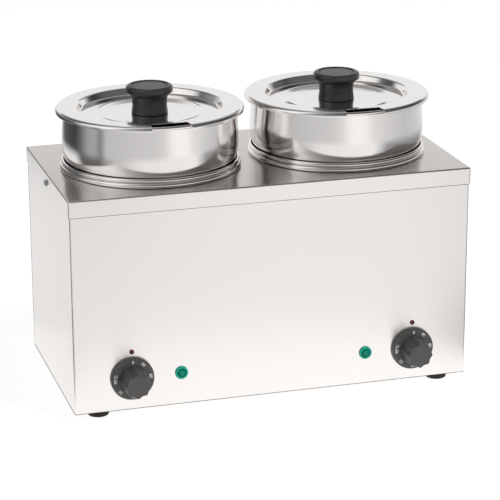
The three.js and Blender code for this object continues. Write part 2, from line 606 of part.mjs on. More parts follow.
function addWell(name, x) {
  const hole = HEATER_STUD_RADIUS + FIT_GAP;
  const coil = arc(HEATER_RING_RADIUS, HEATER_Z, HEATER_TUBE_RADIUS, 0, 360, 6);
  const cutoutTop = PLATE_UNDER_Z - FIT_GAP;
  add(`${name}_collar`, makeCollar(), POLISHED_STEEL, x, 0, TRAY_Z);
  add(`${name}_well`, makeWell(), BRUSHED_STEEL, x, 0, TRAY_Z);
  add(`${name}_heater_ring`, turned(coil, HIDDEN_ROUND), HEATER_STEEL, x, 0, TRAY_Z);
  add(`${name}_heater_plate`, turned(ring(hole, HEATER_PLATE_RADIUS, PLATE_UNDER_Z, PLATE_Z),
    HIDDEN_ROUND), ZINC, x, 0, TRAY_Z);
  add(`${name}_heater_nut`, makeHeaterNut(), ZINC, x, 0, TRAY_Z);
  add(`${name}_thermal_cutout`, turned(disc(CUTOUT_RADIUS, cutoutTop - CUTOUT_HEIGHT, cutoutTop),
    TINY_ROUND), BEIGE_PLASTIC, x, CUTOUT_OFFSET, TRAY_Z);
}

// ---------------------------------------------------------------- pots
// The line follows the inside of the sheet from the middle of the base to the end of the curl.
function makePot() {
  const wall = (outerRadius, z) => at(outerRadius - POT_SHEET, z);
  const floor = POT_SHEET - POT_DEPTH_BELOW_TRAY;
  const beadZ = POT_RIM_Z - POT_RIM_BEAD;
  const seatTop = SEAT_TOP_RADIUS - POT_SEAT_GAP - POT_SEAT_OPENING;
  return turned(sheetOutline([
    at(0, floor),
    ...arc(POT_RADIUS - POT_SHEET - POT_CORNER, floor + POT_CORNER, POT_CORNER, -90, 0, 2),
    wall(POT_RADIUS, 0),
    wall(SEAT_BOTTOM_RADIUS - POT_SEAT_GAP, COLLAR_HEIGHT - SEAT_HEIGHT),
    wall(seatTop, COLLAR_HEIGHT),
    wall((seatTop + POT_BULGE_RADIUS) / 2 + POT_SHOULDER_EASE, POT_SHOULDER_HEIGHT),
    wall(POT_BULGE_RADIUS, POT_BULGE_HEIGHT),
    wall(POT_NECK_RADIUS, beadZ - POT_RIM_BEAD),
    ...arc(POT_BEAD_RADIUS, beadZ, POT_RIM_BEAD, 180, -60, 4),
  ], POT_SHEET), ROUND);
}

// ---------------------------------------------------------------- lids
function makeNotchCutter() {
  const half = NOTCH_WIDTH / 2;
  const inset = LID_RADIUS - NOTCH_DEPTH + NOTCH_CORNER;
  const outside = LID_RADIUS + NOTCH_CORNER;
  const outline = [
    at(-half - NOTCH_FLARE, -outside), at(half + NOTCH_FLARE, -outside),
    ...arc(half - NOTCH_CORNER, -inset, NOTCH_CORNER, 0, 90, 2),
    ...arc(-half + NOTCH_CORNER, -inset, NOTCH_CORNER, 90, 180, 2),
  ];
  return prism(outline, LID_TOP_HEIGHT - LID_LIP_HEIGHT - LID_SHEET, LID_TOP_HEIGHT + LID_SHEET);
}

// A pressed lid: sunk middle, flat flange and a turned-down edge, with a notch for the ladle.
function makeLid() {
  const recessFloor = LID_FLOOR_Z + LID_PANEL_DEPTH;
  const edge = LID_RADIUS - LID_EDGE_RADIUS;
  const sheet = turned(sheetOutline([
    at(LID_SCREW_RADIUS + FIT_GAP, LID_FLOOR_Z), at(LID_PANEL_RADIUS, LID_FLOOR_Z),
    at(LID_PANEL_RADIUS + LID_PANEL_SLOPE, recessFloor),
    at(LID_RECESS_RADIUS - LID_RECESS_SLOPE, recessFloor),
    at(LID_RECESS_RADIUS, LID_TOP_HEIGHT),
    ...arc(edge, LID_TOP_HEIGHT - LID_EDGE_RADIUS, LID_EDGE_RADIUS, 90, 0, 2),
    at(LID_RADIUS, LID_TOP_HEIGHT - LID_LIP_HEIGHT),
  ], LID_SHEET), ROUND);
  return cut(sheet, makeNotchCutter());
}

function makeLidKnob() {
  const base = LID_FLOOR_Z + FIT_GAP;
  const boreEnd = base + LID_SCREW_ENGAGEMENT + LID_SCREW_RUNOUT;
  const bore = LID_SCREW_RADIUS + FIT_GAP;
  const stem = LID_KNOB_STEM_RADIUS;
  const cap = stem + LID_KNOB_OVERHANG;
  const top = LID_FLOOR_Z + LID_KNOB_HEIGHT;
  const capLow = top - LID_KNOB_CAP_HEIGHT;
  const flare = capLow - LID_KNOB_UNDERCUT;
  const round = LID_KNOB_ROUND;
  const rim = cap - round - LID_KNOB_RIM;
  return turned([
    at(0, boreEnd), at(bore, boreEnd), at(bore, base), at(stem + LID_KNOB_FOOT_STEP, base),
    at(stem, base + LID_KNOB_FOOT_HEIGHT), at(stem, flare - LID_KNOB_FLARE_HEIGHT),
    at(stem + LID_KNOB_FLARE, flare), at(cap - round, capLow),
    ...arc(cap - round, capLow + round, round, -60, 70, 3),
    at(rim, top), at(rim - 2 * LID_KNOB_DISH, top - LID_KNOB_DISH), at(0, top - LID_KNOB_DISH / 2),
  ], HIDDEN_ROUND);
}

function addPotAndLid(name, x) {
  add(`${name}_pot`, makePot(), POLISHED_STEEL, x, 0, TRAY_Z);
  add(`${name}_lid`, makeLid(), POLISHED_STEEL, x, 0, TRAY_Z);
  add(`${name}_lid_knob`, makeLidKnob(), BLACK_PLASTIC, x, 0, TRAY_Z);
  const washerTop = LID_FLOOR_Z - LID_SHEET - FIT_GAP;
  const washerLow = washerTop - LID_WASHER_THICKNESS;
  const washer = ring(LID_SCREW_RADIUS + FIT_GAP, LID_WASHER_RADIUS, washerLow, washerTop);
  add(`${name}_lid_washer`, turned(washer, SMALL_ROUND), ZINC, x, 0, TRAY_Z);
  const underHead = washerLow - FIT_GAP;
  const length = LID_FLOOR_Z + LID_SCREW_ENGAGEMENT - underHead;
  const screw = panScrew(LID_SCREW_RADIUS, LID_SCREW_HEAD_RADIUS, LID_SCREW_HEAD_HEIGHT, length);
  add(`${name}_lid_screw`, screw.rotateX(Math.PI), ZINC, x, 0, TRAY_Z + underHead);
}

// ---------------------------------------------------------------- controls
// An octagonal grip with eased corners on a round dial, bored from behind for the spindle.
function makeDialKnob() {
  const front = DIAL_THICKNESS + GRIP_LENGTH;
  const narrow = GRIP_RADIUS * GRIP_TAPER;
  const octagon = new THREE.CylinderGeometry(narrow, GRIP_RADIUS, GRIP_LENGTH, GRIP_SIDES);
  octagon.rotateX(Math.PI / 2);
  octagon.translate(0, 0, DIAL_THICKNESS + GRIP_LENGTH / 2);
  const eased = turned([
    at(0, 0), at(GRIP_RADIUS * GRIP_EASE, 0), at(narrow * GRIP_EASE, front - GRIP_FRONT_BEVEL),
    at(narrow * GRIP_EASE - GRIP_FRONT_BEVEL, front), at(0, front),
  ], HIDDEN_ROUND);
  const grip = toManifold(octagon).intersect(toManifold(eased));
  const dial = turned([
    at(0, 0), at(DIAL_RADIUS, 0), at(DIAL_RADIUS, DIAL_EDGE),
    at(DIAL_RADIUS - DIAL_CHAMFER, DIAL_THICKNESS), at(0, DIAL_THICKNESS + DIAL_CROWN),
  ], ROUND);
  const bore = barAlongZ(SPINDLE_RADIUS + SPINDLE_RUN, 0, 0, -SPINDLE_RUNOUT,
    SPINDLE_GRIP + SPINDLE_RUNOUT, TINY_ROUND);
  return cut(join(dial, fromManifold(grip)), bore);
}

function makeThermostat() {
  const half = THERMOSTAT_SIZE / 2;
  const front = FRONT_INSIDE_Y + FIT_GAP;
  const bush = barAlongY(SPINDLE_RADIUS + SPINDLE_RUN, 0, 0, FRONT_Y, front + THERMOSTAT_BUSH_DEPTH,
    TINY_ROUND);
  return cut(box(-half, half, front, front + THERMOSTAT_DEPTH, -half, half), bush);
}

// The sensing bulb stands against the well, and its capillary runs down to the thermostat.
function makeSensor(sign) {
  const reach = (WELL_RADIUS + WELL_SHEET + BULB_GAP + BULB_RADIUS) * Math.SQRT1_2;
  const [x, y] = [sign * (WELL_X + reach), -reach];
  const top = TRAY_Z - BULB_DROP;
  const low = top - BULB_LENGTH;
  const start = CONTROL_HEIGHT + THERMOSTAT_SIZE / 4;
  const dialX = sign * DIAL_X;
  const capillary = tubeAlong([
    [dialX, THERMOSTAT_BACK_Y, start], [dialX, THERMOSTAT_BACK_Y + CAPILLARY_BEND, start],
    [(dialX + x) / 2, y + CAPILLARY_BEND, (start * 2 + low) / 3],
    [x, y, (start + low * 2) / 3], [x, y, low - CAPILLARY_LEAD], [x, y, low + BULB_RADIUS],
  ], CAPILLARY_RADIUS);
  return join(barAlongZ(BULB_RADIUS, x, y, low, top, TINY_ROUND), capillary);
}

function makeLampBezel() {
  const socket = LAMP_LENS_RADIUS + FIT_GAP;
  const floor = LAMP_FLANGE - LAMP_LENS_DEPTH - FIT_GAP;
  return turned([
    at(0, -LAMP_BARREL_LENGTH), at(LAMP_BARREL_RADIUS, -LAMP_BARREL_LENGTH),
    at(LAMP_BARREL_RADIUS, 0), at(LAMP_RADIUS, 0), at(LAMP_RADIUS, LAMP_FLANGE - LAMP_CHAMFER),
    at(LAMP_RADIUS - LAMP_CHAMFER, LAMP_FLANGE), at(socket, LAMP_FLANGE), at(socket, floor), at(0, floor),
  ], SMALL_ROUND);
}

function makeLampLens() {
  const low = LAMP_FLANGE - LAMP_LENS_DEPTH;
  const crown = arc(0, 0, 1, 0, 90, 2).map((point) => (
    at(point.x * LAMP_LENS_RADIUS, LAMP_FLANGE + point.y * LAMP_LENS_CROWN)));
  return turned([at(0, low), at(LAMP_LENS_RADIUS, low), ...crown], SMALL_ROUND);
}

function makeIndexStud() {
  return turned([
    at(0, -INDEX_STEM_LENGTH), at(INDEX_STEM_RADIUS, -INDEX_STEM_LENGTH), at(INDEX_STEM_RADIUS, 0),
    at(INDEX_RADIUS, 0), at(INDEX_RADIUS - INDEX_CHAMFER, INDEX_HEAD), at(0, INDEX_HEAD),
  ], TINY_ROUND);
}

function makeLoom(sign) {
  const block = REAR_Y - TERMINAL_SETBACK;
  const low = FOOT_HEIGHT + CASE_SHEET + 3 * LOOM_RADIUS;
  const high = low + 2 * LOOM_RADIUS;
  const entry = high + 3 * LOOM_RADIUS;
  const start = TERMINAL_WIDTH / 2 + WIRE_GAP;
  return tubeAlong([
    [sign * start, block, high], [sign * (start + LOOM_LEAD), block, high],
    [sign * WELL_X, block / 3, low], [sign * DIAL_X, THERMOSTAT_BACK_Y / 2, low],
    [sign * DIAL_X, THERMOSTAT_BACK_Y + LOOM_LEAD, entry],
    [sign * DIAL_X, THERMOSTAT_BACK_Y, entry],
  ], LOOM_RADIUS);
}

function addControls(name, sign) {
  const x = sign * DIAL_X;
  const face = FRONT_Y - FIT_GAP;
  const spindleEnd = FRONT_INSIDE_Y + THERMOSTAT_BUSH_DEPTH - FIT_GAP;
  const spindle = barAlongY(SPINDLE_RADIUS, 0, 0, face - SPINDLE_GRIP, spindleEnd, TINY_ROUND);
  add(`${name}_dial_knob`, facingFront(makeDialKnob()), BLACK_PLASTIC, x, face, CONTROL_HEIGHT);
  add(`${name}_spindle`, spindle, ZINC, x, 0, CONTROL_HEIGHT);
  add(`${name}_thermostat`, makeThermostat(), GREY_INSULATION, x, 0, CONTROL_HEIGHT);
  add(`${name}_sensor`, makeSensor(sign), COPPER);
  add(`${name}_loom`, makeLoom(sign), GREY_INSULATION);
  const lampX = sign * LAMP_X;
  add(`${name}_lamp_bezel`, facingFront(makeLampBezel()), GREEN_PLASTIC, lampX, face, CONTROL_HEIGHT);
  add(`${name}_lamp_lens`, facingFront(makeLampLens()), GREEN_LENS, lampX, face, CONTROL_HEIGHT);
  add(`${name}_index_stud`, facingFront(makeIndexStud()), RED_PLASTIC,
    x, face, CONTROL_HEIGHT + INDEX_HEIGHT);
}

// ---------------------------------------------------------------- supply side
function makeGlandBody() {
  const cap = GLAND_FLANGE_THICKNESS + GLAND_CAP_LENGTH;
  const inside = -CASE_SHEET - GLAND_INSIDE;
  const flange = GLAND_THREAD_RADIUS + GLAND_FLANGE_STEP;
  const collar = GLAND_THREAD_RADIUS + GLAND_CAP_STEP;
  return turned([
    at(GLAND_BORE_RADIUS, inside), at(GLAND_THREAD_RADIUS, inside), at(GLAND_THREAD_RADIUS, 0),
    at(flange, 0), at(flange, GLAND_FLANGE_THICKNESS),
    at(collar, GLAND_FLANGE_THICKNESS), at(collar, cap - GLAND_NOSE_LENGTH),
    at(GLAND_BORE_RADIUS + GLAND_NOSE_WALL, cap), at(GLAND_BORE_RADIUS, cap),
    at(GLAND_BORE_RADIUS, inside),
  ], SMALL_ROUND);
}

function makeTerminalBlock() {
  const half = TERMINAL_DEPTH / 2;
  const outline = [
    at(-half, 0), at(half, 0), at(half, TERMINAL_HEIGHT - TERMINAL_STEP),
    at(half - TERMINAL_STEP, TERMINAL_HEIGHT), at(TERMINAL_STEP - half, TERMINAL_HEIGHT),
    at(-half, TERMINAL_HEIGHT - TERMINAL_STEP),
  ];
  return prism(outline, -TERMINAL_WIDTH / 2, TERMINAL_WIDTH / 2).rotateY(Math.PI / 2)
    .rotateX(Math.PI / 2);
}

function addSupply() {
  const floor = FOOT_HEIGHT + CASE_SHEET + FIT_GAP;
  const block = REAR_Y - TERMINAL_SETBACK;
  const nut = ring(GLAND_THREAD_RADIUS + FIT_GAP, GLAND_THREAD_RADIUS + GLAND_NUT_STEP,
    0, GLAND_NUT_THICKNESS);
  add('cord_gland', facingRear(makeGlandBody()), BLACK_PLASTIC, 0, REAR_Y + FIT_GAP, GLAND_HEIGHT);
  add('cord_gland_nut', facingFront(turned(nut, SMALL_ROUND)), BLACK_PLASTIC,
    0, REAR_Y - CASE_SHEET - FIT_GAP, GLAND_HEIGHT);
  add('terminal_block', makeTerminalBlock(), BEIGE_PLASTIC, 0, block, floor);
  add('earth_stud', turned(disc(EARTH_STUD_RADIUS, 0, EARTH_STUD_LENGTH), TINY_ROUND), ZINC,
    TERMINAL_WIDTH / 2 + EARTH_STUD_GAP, REAR_Y - EARTH_STUD_SETBACK, floor);
}

addCase();
addFeet();
for (const { name, sign } of SIDES) {
  addWell(name, sign * WELL_X);
  addPotAndLid(name, sign * WELL_X);
  addControls(name, sign);
}
addSupply();

export default kettle;
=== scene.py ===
# %% [markdown]
# # A two-pot soup kettle
# The real object is a folded stainless case that holds two wells of warm water, with a
# lift-out pot in each well. The measured model comes in as a fixed frame, and every visible
# piece is made again here with the rounds, rolled edges and finishes that sheet metal has.
# Loading the frame first means that a size is never typed twice: pieces read it from there.

# %% Load the frame
import math

import bmesh
import bpy
from mathutils import Matrix, Vector


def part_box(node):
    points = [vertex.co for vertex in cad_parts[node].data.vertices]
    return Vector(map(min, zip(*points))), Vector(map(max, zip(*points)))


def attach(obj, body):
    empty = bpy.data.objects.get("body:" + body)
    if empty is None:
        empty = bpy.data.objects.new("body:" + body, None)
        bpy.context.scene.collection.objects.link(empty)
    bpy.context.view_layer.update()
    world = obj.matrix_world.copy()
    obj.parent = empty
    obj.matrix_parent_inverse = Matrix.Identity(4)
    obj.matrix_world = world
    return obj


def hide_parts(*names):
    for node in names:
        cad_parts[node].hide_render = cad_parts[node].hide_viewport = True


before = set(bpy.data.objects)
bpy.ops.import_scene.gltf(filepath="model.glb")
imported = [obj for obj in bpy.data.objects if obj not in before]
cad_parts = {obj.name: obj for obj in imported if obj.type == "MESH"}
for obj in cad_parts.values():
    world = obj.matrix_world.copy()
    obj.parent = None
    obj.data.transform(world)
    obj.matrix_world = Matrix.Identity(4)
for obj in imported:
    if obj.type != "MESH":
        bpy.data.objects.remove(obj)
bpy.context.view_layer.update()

MM = 0.001
SIDES = ("left", "right")

# %% [markdown]
# ## The camera
# The kettle stands a little turned, seen from a standing person's height and some way off, so
# its upright edges stay nearly parallel. A long lens far away gives that; a short lens close by
# would splay the case. The view is level apart from a small roll.

# %% Place the camera
CAMERA_TURN = -16.28    # degrees round the kettle, from straight in front towards its left
CAMERA_RISE = 17.93     # degrees above level
CAMERA_ROLL = -0.23
CAMERA_DISTANCE = 2700  # mm
CAMERA_LENS = 154.2     # mm, on the usual 36 mm wide sensor
AIM = Vector((7.5, 11.1, 150.9))  # the point in the middle of the view, mm


def view_axes(turn, rise, roll):
    """The camera's right, up and backward directions."""
    turn, rise, roll = (math.radians(angle) for angle in (turn, rise, roll))
    back = Vector((
        math.sin(turn) * math.cos(rise), -math.cos(turn) * math.cos(rise), math.sin(rise)))
    right = (-back).cross(Vector((0, 0, 1))).normalized()
    up = back.cross(right)
    return (right * math.cos(roll) + up * math.sin(roll),
            up * math.cos(roll) - right * math.sin(roll), back)


def place_camera():
    """Adds the camera and makes it the scene's own."""
    right, up, back = view_axes(CAMERA_TURN, CAMERA_RISE, CAMERA_ROLL)
    camera = bpy.data.objects.new("camera", bpy.data.cameras.new("camera"))
    camera.data.lens = CAMERA_LENS
    camera.data.clip_end = 20
    camera.matrix_world = Matrix.Translation((AIM + back * CAMERA_DISTANCE) * MM) @ Matrix(
        (right, up, back)).transposed().to_4x4()
    bpy.context.scene.collection.objects.link(camera)
    bpy.context.scene.camera = camera
    return camera


print("camera at", [round(v, 3) for v in place_camera().matrix_world.translation])

# %% [markdown]
# ## Making meshes
# Most of the kettle is either spun (pots, lids, collars, knobs) or folded from sheet (case,
# tray). So there are two makers: one turns an outline round an axis, the other stands a flat
# outline up as a wall. Both take outlines in millimetres whose corners are rounded by
# `soften`, because real pressed metal has no sharp corner and a rounded one catches a line
# of light.

# %% Outlines
ARC_STEP = 11     # degrees of arc for each facet of a rounded corner, at most
FACET_LENGTH = 4  # mm, the longest facet of a rounded corner


def soften(corners, closed=False):
    """Rounds the corners given as (across, up, radius); (across, up) corners stay sharp."""
    points = []
    for i, corner in enumerate(corners):
        here = Vector(corner[:2])
        at_end = not closed and i in (0, len(corners) - 1)
        if len(corner) < 3 or at_end:
            points.append(here)
            continue
        before = (Vector(corners[i - 1][:2]) - here).normalized()
        after = (Vector(corners[(i + 1) % len(corners)][:2]) - here).normalized()
        half = before.angle(after) / 2
        middle = here + (before + after).normalized() * corner[2] / math.sin(half)
        start = here + before * corner[2] / math.tan(half) - middle
        end = here + after * corner[2] / math.tan(half) - middle
        sweep = start.angle_signed(end)
        steps = max(2, math.ceil(math.degrees(abs(sweep)) / ARC_STEP),
                    round(abs(sweep) * corner[2] / FACET_LENGTH))
        for k in range(steps + 1):
            points.append(middle + Matrix.Rotation(-sweep * k / steps, 2) @ start)
    return points


def thicken(line, gauge):
    """A sheet's closed outline: the line, and the same line moved to its right by the gauge."""
    runs = [(b - a).normalized() for a, b in zip(line, line[1:])]
    moved = []
    for i, point in enumerate(line):
        before, after = runs[max(i - 1, 0)], runs[min(i, len(runs) - 1)]
        mean = (before + after).normalized()
        reach = gauge / mean.dot(after)
        moved.append(Vector((point.x + mean.y * reach, point.y - mean.x * reach)))
    return line + moved[::-1]


def arc(across, up, radius, start, end, step=ARC_STEP):
    """Points along an arc, angles in degrees."""
    steps = max(2, math.ceil(abs(end - start) / step))
    angles = [math.radians(start + (end - start) * k / steps) for k in range(steps + 1)]
    return [Vector((across + radius * math.cos(a), up + radius * math.sin(a))) for a in angles]


print("a softened square corner has", len(soften([(0, 0), (10, 0, 2), (10, 10)])), "points")

# %% [markdown]
# `finish_piece` turns a bmesh into an object, faces it outward, shades it smooth except where
# two faces meet at a real edge, hangs it on the empty of the body it moves with, and hides the
# measured nodes it stands for.

# %% Pieces and their makers
SHARP_ANGLE = 32      # degrees; a meeting of faces above this stays a crisp edge
MERGE_DISTANCE = 0.004  # mm; points closer than this become one


def finish_piece(name, shape, body, slot, *nodes):
    """Turns a shape into a named object that moves with its body."""
    bmesh.ops.remove_doubles(shape, verts=shape.verts, dist=MERGE_DISTANCE * MM)
    bmesh.ops.recalc_face_normals(shape, faces=shape.faces)
    mesh = bpy.data.meshes.new(name)
    shape.to_mesh(mesh)
    shape.free()
    mesh.shade_smooth()
    mesh.set_sharp_from_angle(angle=math.radians(SHARP_ANGLE))
    piece = bpy.data.objects.new(name, mesh)
    bpy.context.scene.collection.objects.link(piece)
    piece.modifiers.new("flat faces stay flat", "WEIGHTED_NORMAL").keep_sharp = True
    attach(piece, body)
    if nodes:
        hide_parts(*nodes)
    return piece


def spun(outline, axis=(0, 0, 0), steps=144):
    """Turns an outline of (radius, height) about an upright axis; all in mm."""
    shape = bmesh.new()
    rings = []
    for point in outline:
        count = 1 if point[0] < MERGE_DISTANCE else steps
        turns = [2 * math.pi * k / steps for k in range(count)]
        rings.append([shape.verts.new(Vector((
            axis[0] + point[0] * math.cos(turn), axis[1] + point[0] * math.sin(turn),
            axis[2] + point[1])) * MM) for turn in turns])
    pairs = list(zip(rings, rings[1:]))
    if len(rings[0]) > 1 or len(rings[-1]) > 1:
        pairs.append((rings[-1], rings[0]))
    for low, high in pairs:
        if len(low) == len(high) == 1:
            continue
        for k in range(steps):
            corners = [low[k % len(low)], low[(k + 1) % len(low)],
                       high[(k + 1) % len(high)], high[k % len(high)]]
            shape.faces.new(dict.fromkeys(corners))
    return shape


def upright(outline, low, high):
    """A closed outline of (x, y) points stood up as a solid from low to high; all in mm."""
    shape = bmesh.new()
    floor = shape.faces.new([shape.verts.new((p[0] * MM, p[1] * MM, low * MM)) for p in outline])
    lifted = bmesh.ops.extrude_face_region(shape, geom=[floor])["geom"]
    verts = [v for v in lifted if isinstance(v, bmesh.types.BMVert)]
    bmesh.ops.translate(shape, verts=verts, vec=(0, 0, (high - low) * MM))
    return shape


def lean(shape, turn, place):
    """Turns a shape made about +Z, then moves it to its place (mm)."""
    move = Matrix.Translation(Vector(place) * MM) @ turn
    bmesh.ops.transform(shape, matrix=move, verts=shape.verts)
    return shape


FACE_FRONT = Matrix.Rotation(math.radians(90), 4, "X")
FACE_REAR = Matrix.Rotation(math.radians(-90), 4, "X")


def box_mm(node):
    """A measured node's lowest and highest corners, in mm."""
    low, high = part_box(node)
    return low / MM, high / MM


def middle_mm(node):
    low, high = box_mm(node)
    return (low + high) / 2


print("tray box, mm:", [[round(v, 1) for v in corner] for corner in box_mm("top_tray")])

# %% [markdown]
# Holes and notches are cut with Blender's exact boolean. It costs more than modelling a hole
# in by hand, but the cutter can be the outline that a press tool has. The result is baked
# into the mesh at once, so the piece carries no modifier that depends on a hidden object.

# %% Cutting
def carve(shape, *cutters, operation="DIFFERENCE"):
    """Cuts (or joins) shapes and gives the resulting shape back."""
    def as_object(part):
        bmesh.ops.recalc_face_normals(part, faces=part.faces)
        mesh = bpy.data.meshes.new("blank")
        part.to_mesh(mesh)
        part.free()
        thing = bpy.data.objects.new("blank", mesh)
        bpy.context.scene.collection.objects.link(thing)
        return thing
    work = as_object(shape)
    tools = [as_object(cutter) for cutter in cutters]
    for tool in tools:
        press = work.modifiers.new("press", "BOOLEAN")
        press.operation = operation
        press.solver = "EXACT"
        press.object = tool
    bpy.context.view_layer.update()
    result = bmesh.new()
    result.from_object(work, bpy.context.evaluated_depsgraph_get())
    for thing in (work, *tools):
        mesh = thing.data
        bpy.data.objects.remove(thing)
        bpy.data.meshes.remove(mesh)
    return result


washer = carve(spun([(0, 0), (9, 0), (9, 3), (0, 3)]), spun([(0, -1), (4, -1), (4, 4), (0, 4)]))
print("a disc less a bore has", len(washer.faces), "faces")
washer.free()

# %% [markdown]
# ## Finishes
# Every finish is a Principled shader that starts from what the real material is. Colours are
# written as the sRGB hex a person would pick and turned to linear light by one function.
# `add_node` is the only helper for the node tree: it adds one node, its settings and its links.

# %% Material helpers
def hex_to_linear(code):
    """An sRGB hex colour as linear RGBA."""
    channels = [int(code[i:i + 2], 16) / 255 for i in (1, 3, 5)]
    linear = [c / 12.92 if c <= 0.04045 else ((c + 0.055) / 1.055) ** 2.4
              for c in channels]
    return (*linear, 1)


def add_node(tree, kind, settings=None, links=None):
    """Adds a node; a setting is an input when it is a number or an input's name."""
    node = tree.nodes.new(kind)
    for key, value in (settings or {}).items():
        if isinstance(key, int) or key in node.inputs:
            node.inputs[key].default_value = value
        else:
            setattr(node, key, value)
    for key, socket in (links or {}).items():
        tree.links.new(socket, node.inputs[key])
    return node


def start_finish(name, **settings):
    """A material with its Principled shader set; gives the material, its tree and the shader."""
    material = bpy.data.materials.new(name)
    material.use_nodes = True
    shader = material.node_tree.nodes["Principled BSDF"]
    for key, value in settings.items():
        shader.inputs[key.replace("_", " ")].default_value = value
    return material, material.node_tree, shader


def pattern(tree, per_mm, detail=2.0):
    """Noise with per_mm cells to the millimetre along x, y and z of the piece; gives its value."""
    place = add_node(tree, "ShaderNodeTexCoord")
    scale = tuple(count / MM for count in per_mm)
    stretch = add_node(tree, "ShaderNodeMapping", {"Scale": scale},
                       {"Vector": place.outputs["Object"]})
    return add_node(tree, "ShaderNodeTexNoise", {"Scale": 1.0, "Detail": detail},
                    {"Vector": stretch.outputs["Vector"]}).outputs[0]


def wire(tree, shader, colour, gloss, relief):
    """Links a finish's colour, roughness and relief to its shader."""
    for name, socket in (("Base Color", colour), ("Roughness", gloss), ("Normal", relief)):
        tree.links.new(socket, shader.inputs[name])


print("sRGB #808080 is linear", round(hex_to_linear("#808080")[0], 3))

# %% [markdown]
# **Belt-brushed stainless sheet** (case and tray). The belt leaves long scratches about
# 0.1 mm wide, all one way. The eye reads that as a reflection that is smeared across the
# scratches and nearly sharp along them: an anisotropic highlight. A tangent from the UV map
# says which way is across, and each face of the case gets its own. Real scratches are too
# fine to show from this far, so they are drawn coarser, about 0.8 mm wide, and very faint.

# %% Brushed stainless sheet
SCRATCH_WIDTH = 1 / 1.3  # mm, coarser than the real 0.1 so that it shows
SCRATCH_LENGTH = 60      # mm


def brushed_sheet(along):
    """Brushed stainless with its scratches along the x, y or z axis."""
    material, tree, shader = start_finish(
        f"brushed_stainless_{along}", Metallic=1.0, Anisotropic=0.95, Anisotropic_Rotation=0.0)
    per_mm = [1 / (SCRATCH_LENGTH if axis == along else SCRATCH_WIDTH) for axis in "xyz"]
    grain = pattern(tree, per_mm, detail=3.0)
    steel = add_node(tree, "ShaderNodeMix", {
        "data_type": "RGBA", 6: hex_to_linear("#f0ebe8"), 7: hex_to_linear("#f4f0ed")}, {0: grain})
    gloss = add_node(tree, "ShaderNodeMapRange", {
        "To Min": 0.19, "To Max": 0.24}, {"Value": grain})
    scratch = add_node(tree, "ShaderNodeBump", {
        "Strength": 0.05, "Distance": 0.01 * MM}, {"Height": grain})
    lie = add_node(tree, "ShaderNodeTangent", {
        "direction_type": "UV_MAP", "uv_map": "across_grain"})
    wire(tree, shader, steel.outputs[2], gloss.outputs[0], scratch.outputs[0])
    tree.links.new(lie.outputs["Tangent"], shader.inputs["Tangent"])
    return material


def lay_grain(piece, across_front, across_side, across_top):
    """A UV map whose u runs across each face's scratches; the last three are axis numbers."""
    mesh = piece.data
    layer = mesh.uv_layers.new(name="across_grain")
    across = {0: across_side, 1: across_front, 2: across_top}
    for face in mesh.polygons:
        facing = max(range(3), key=lambda axis: abs(face.normal[axis]))
        u = across[facing]
        v = next(axis for axis in range(3) if axis not in (u, facing))
        for corner in face.loop_indices:
            spot = mesh.vertices[mesh.loops[corner].vertex_index].co
            layer.data[corner].uv = (spot[u] / (10 * MM), spot[v] / (10 * MM))


BRUSHED_WIDTHWAYS = brushed_sheet("x")
BRUSHED_DEPTHWAYS = brushed_sheet("y")
print("brushed sheet has", len(BRUSHED_WIDTHWAYS.node_tree.nodes), "nodes")

# %% [markdown]
# **Spun stainless, buffed** (pots, lids, collars). These are spun or pressed and then
# polished on the lathe, which leaves faint rings. They mirror their surroundings, a little
# softened up and down because the rings run round. The tangent is taken round the axis. The
# rings are real marks of about 0.2 mm, drawn 1 to 3 mm apart so that they show.

# %% Polished stainless
def buffed_stainless(name, roughness, rings_per_mm, colours=("#edeae8", "#f4f1ef")):
    """Polished steel with faint rings round an upright axis and slow smears 50 mm long."""
    material, tree, shader = start_finish(
        name, Metallic=1.0, Anisotropic=0.5, Anisotropic_Rotation=0.25)
    smear = pattern(tree, (1 / 50, 1 / 50, rings_per_mm), detail=3.0)
    steel = add_node(tree, "ShaderNodeMix", {
        "data_type": "RGBA", 6: hex_to_linear(colours[0]), 7: hex_to_linear(colours[1])},
        {0: smear})
    gloss = add_node(tree, "ShaderNodeMapRange", {
        "To Min": roughness * 0.85, "To Max": roughness * 1.15}, {"Value": smear})
    ripple = add_node(tree, "ShaderNodeBump", {
        "Strength": 0.1, "Distance": 0.004 * MM}, {"Height": smear})
    wire(tree, shader, steel.outputs[2], gloss.outputs[0], ripple.outputs[0])
    lie = add_node(tree, "ShaderNodeTangent", {"direction_type": "RADIAL", "axis": "Z"})
    tree.links.new(lie.outputs["Tangent"], shader.inputs["Tangent"])
    return material


POT_STEEL = buffed_stainless("spun_stainless_pot", 0.13, 0.9)
LID_STEEL = buffed_stainless("polished_stainless_lid", 0.1, 0.5)
COLLAR_STEEL = buffed_stainless("polished_stainless_collar", 0.1, 0.5)
WELL_STEEL = buffed_stainless("drawn_stainless_well", 0.24, 0.3, ("#c9c6c2", "#d8d5d1"))
print("buffed finishes:", POT_STEEL.name, LID_STEEL.name, COLLAR_STEEL.name, WELL_STEEL.name)

# %% [markdown]
# **Plastics and rubber.** The lid knobs are moulded phenolic and the dials nylon: near black,
# satin, with the fine pebble of the mould. That is about 0.3 mm across and is drawn at 0.6 mm
# or more so that it shows. The lamp's ring and lens are green polycarbonate with little shine,
# and the stud over the dial is the same plastic in dark red. The feet are matte rubber.

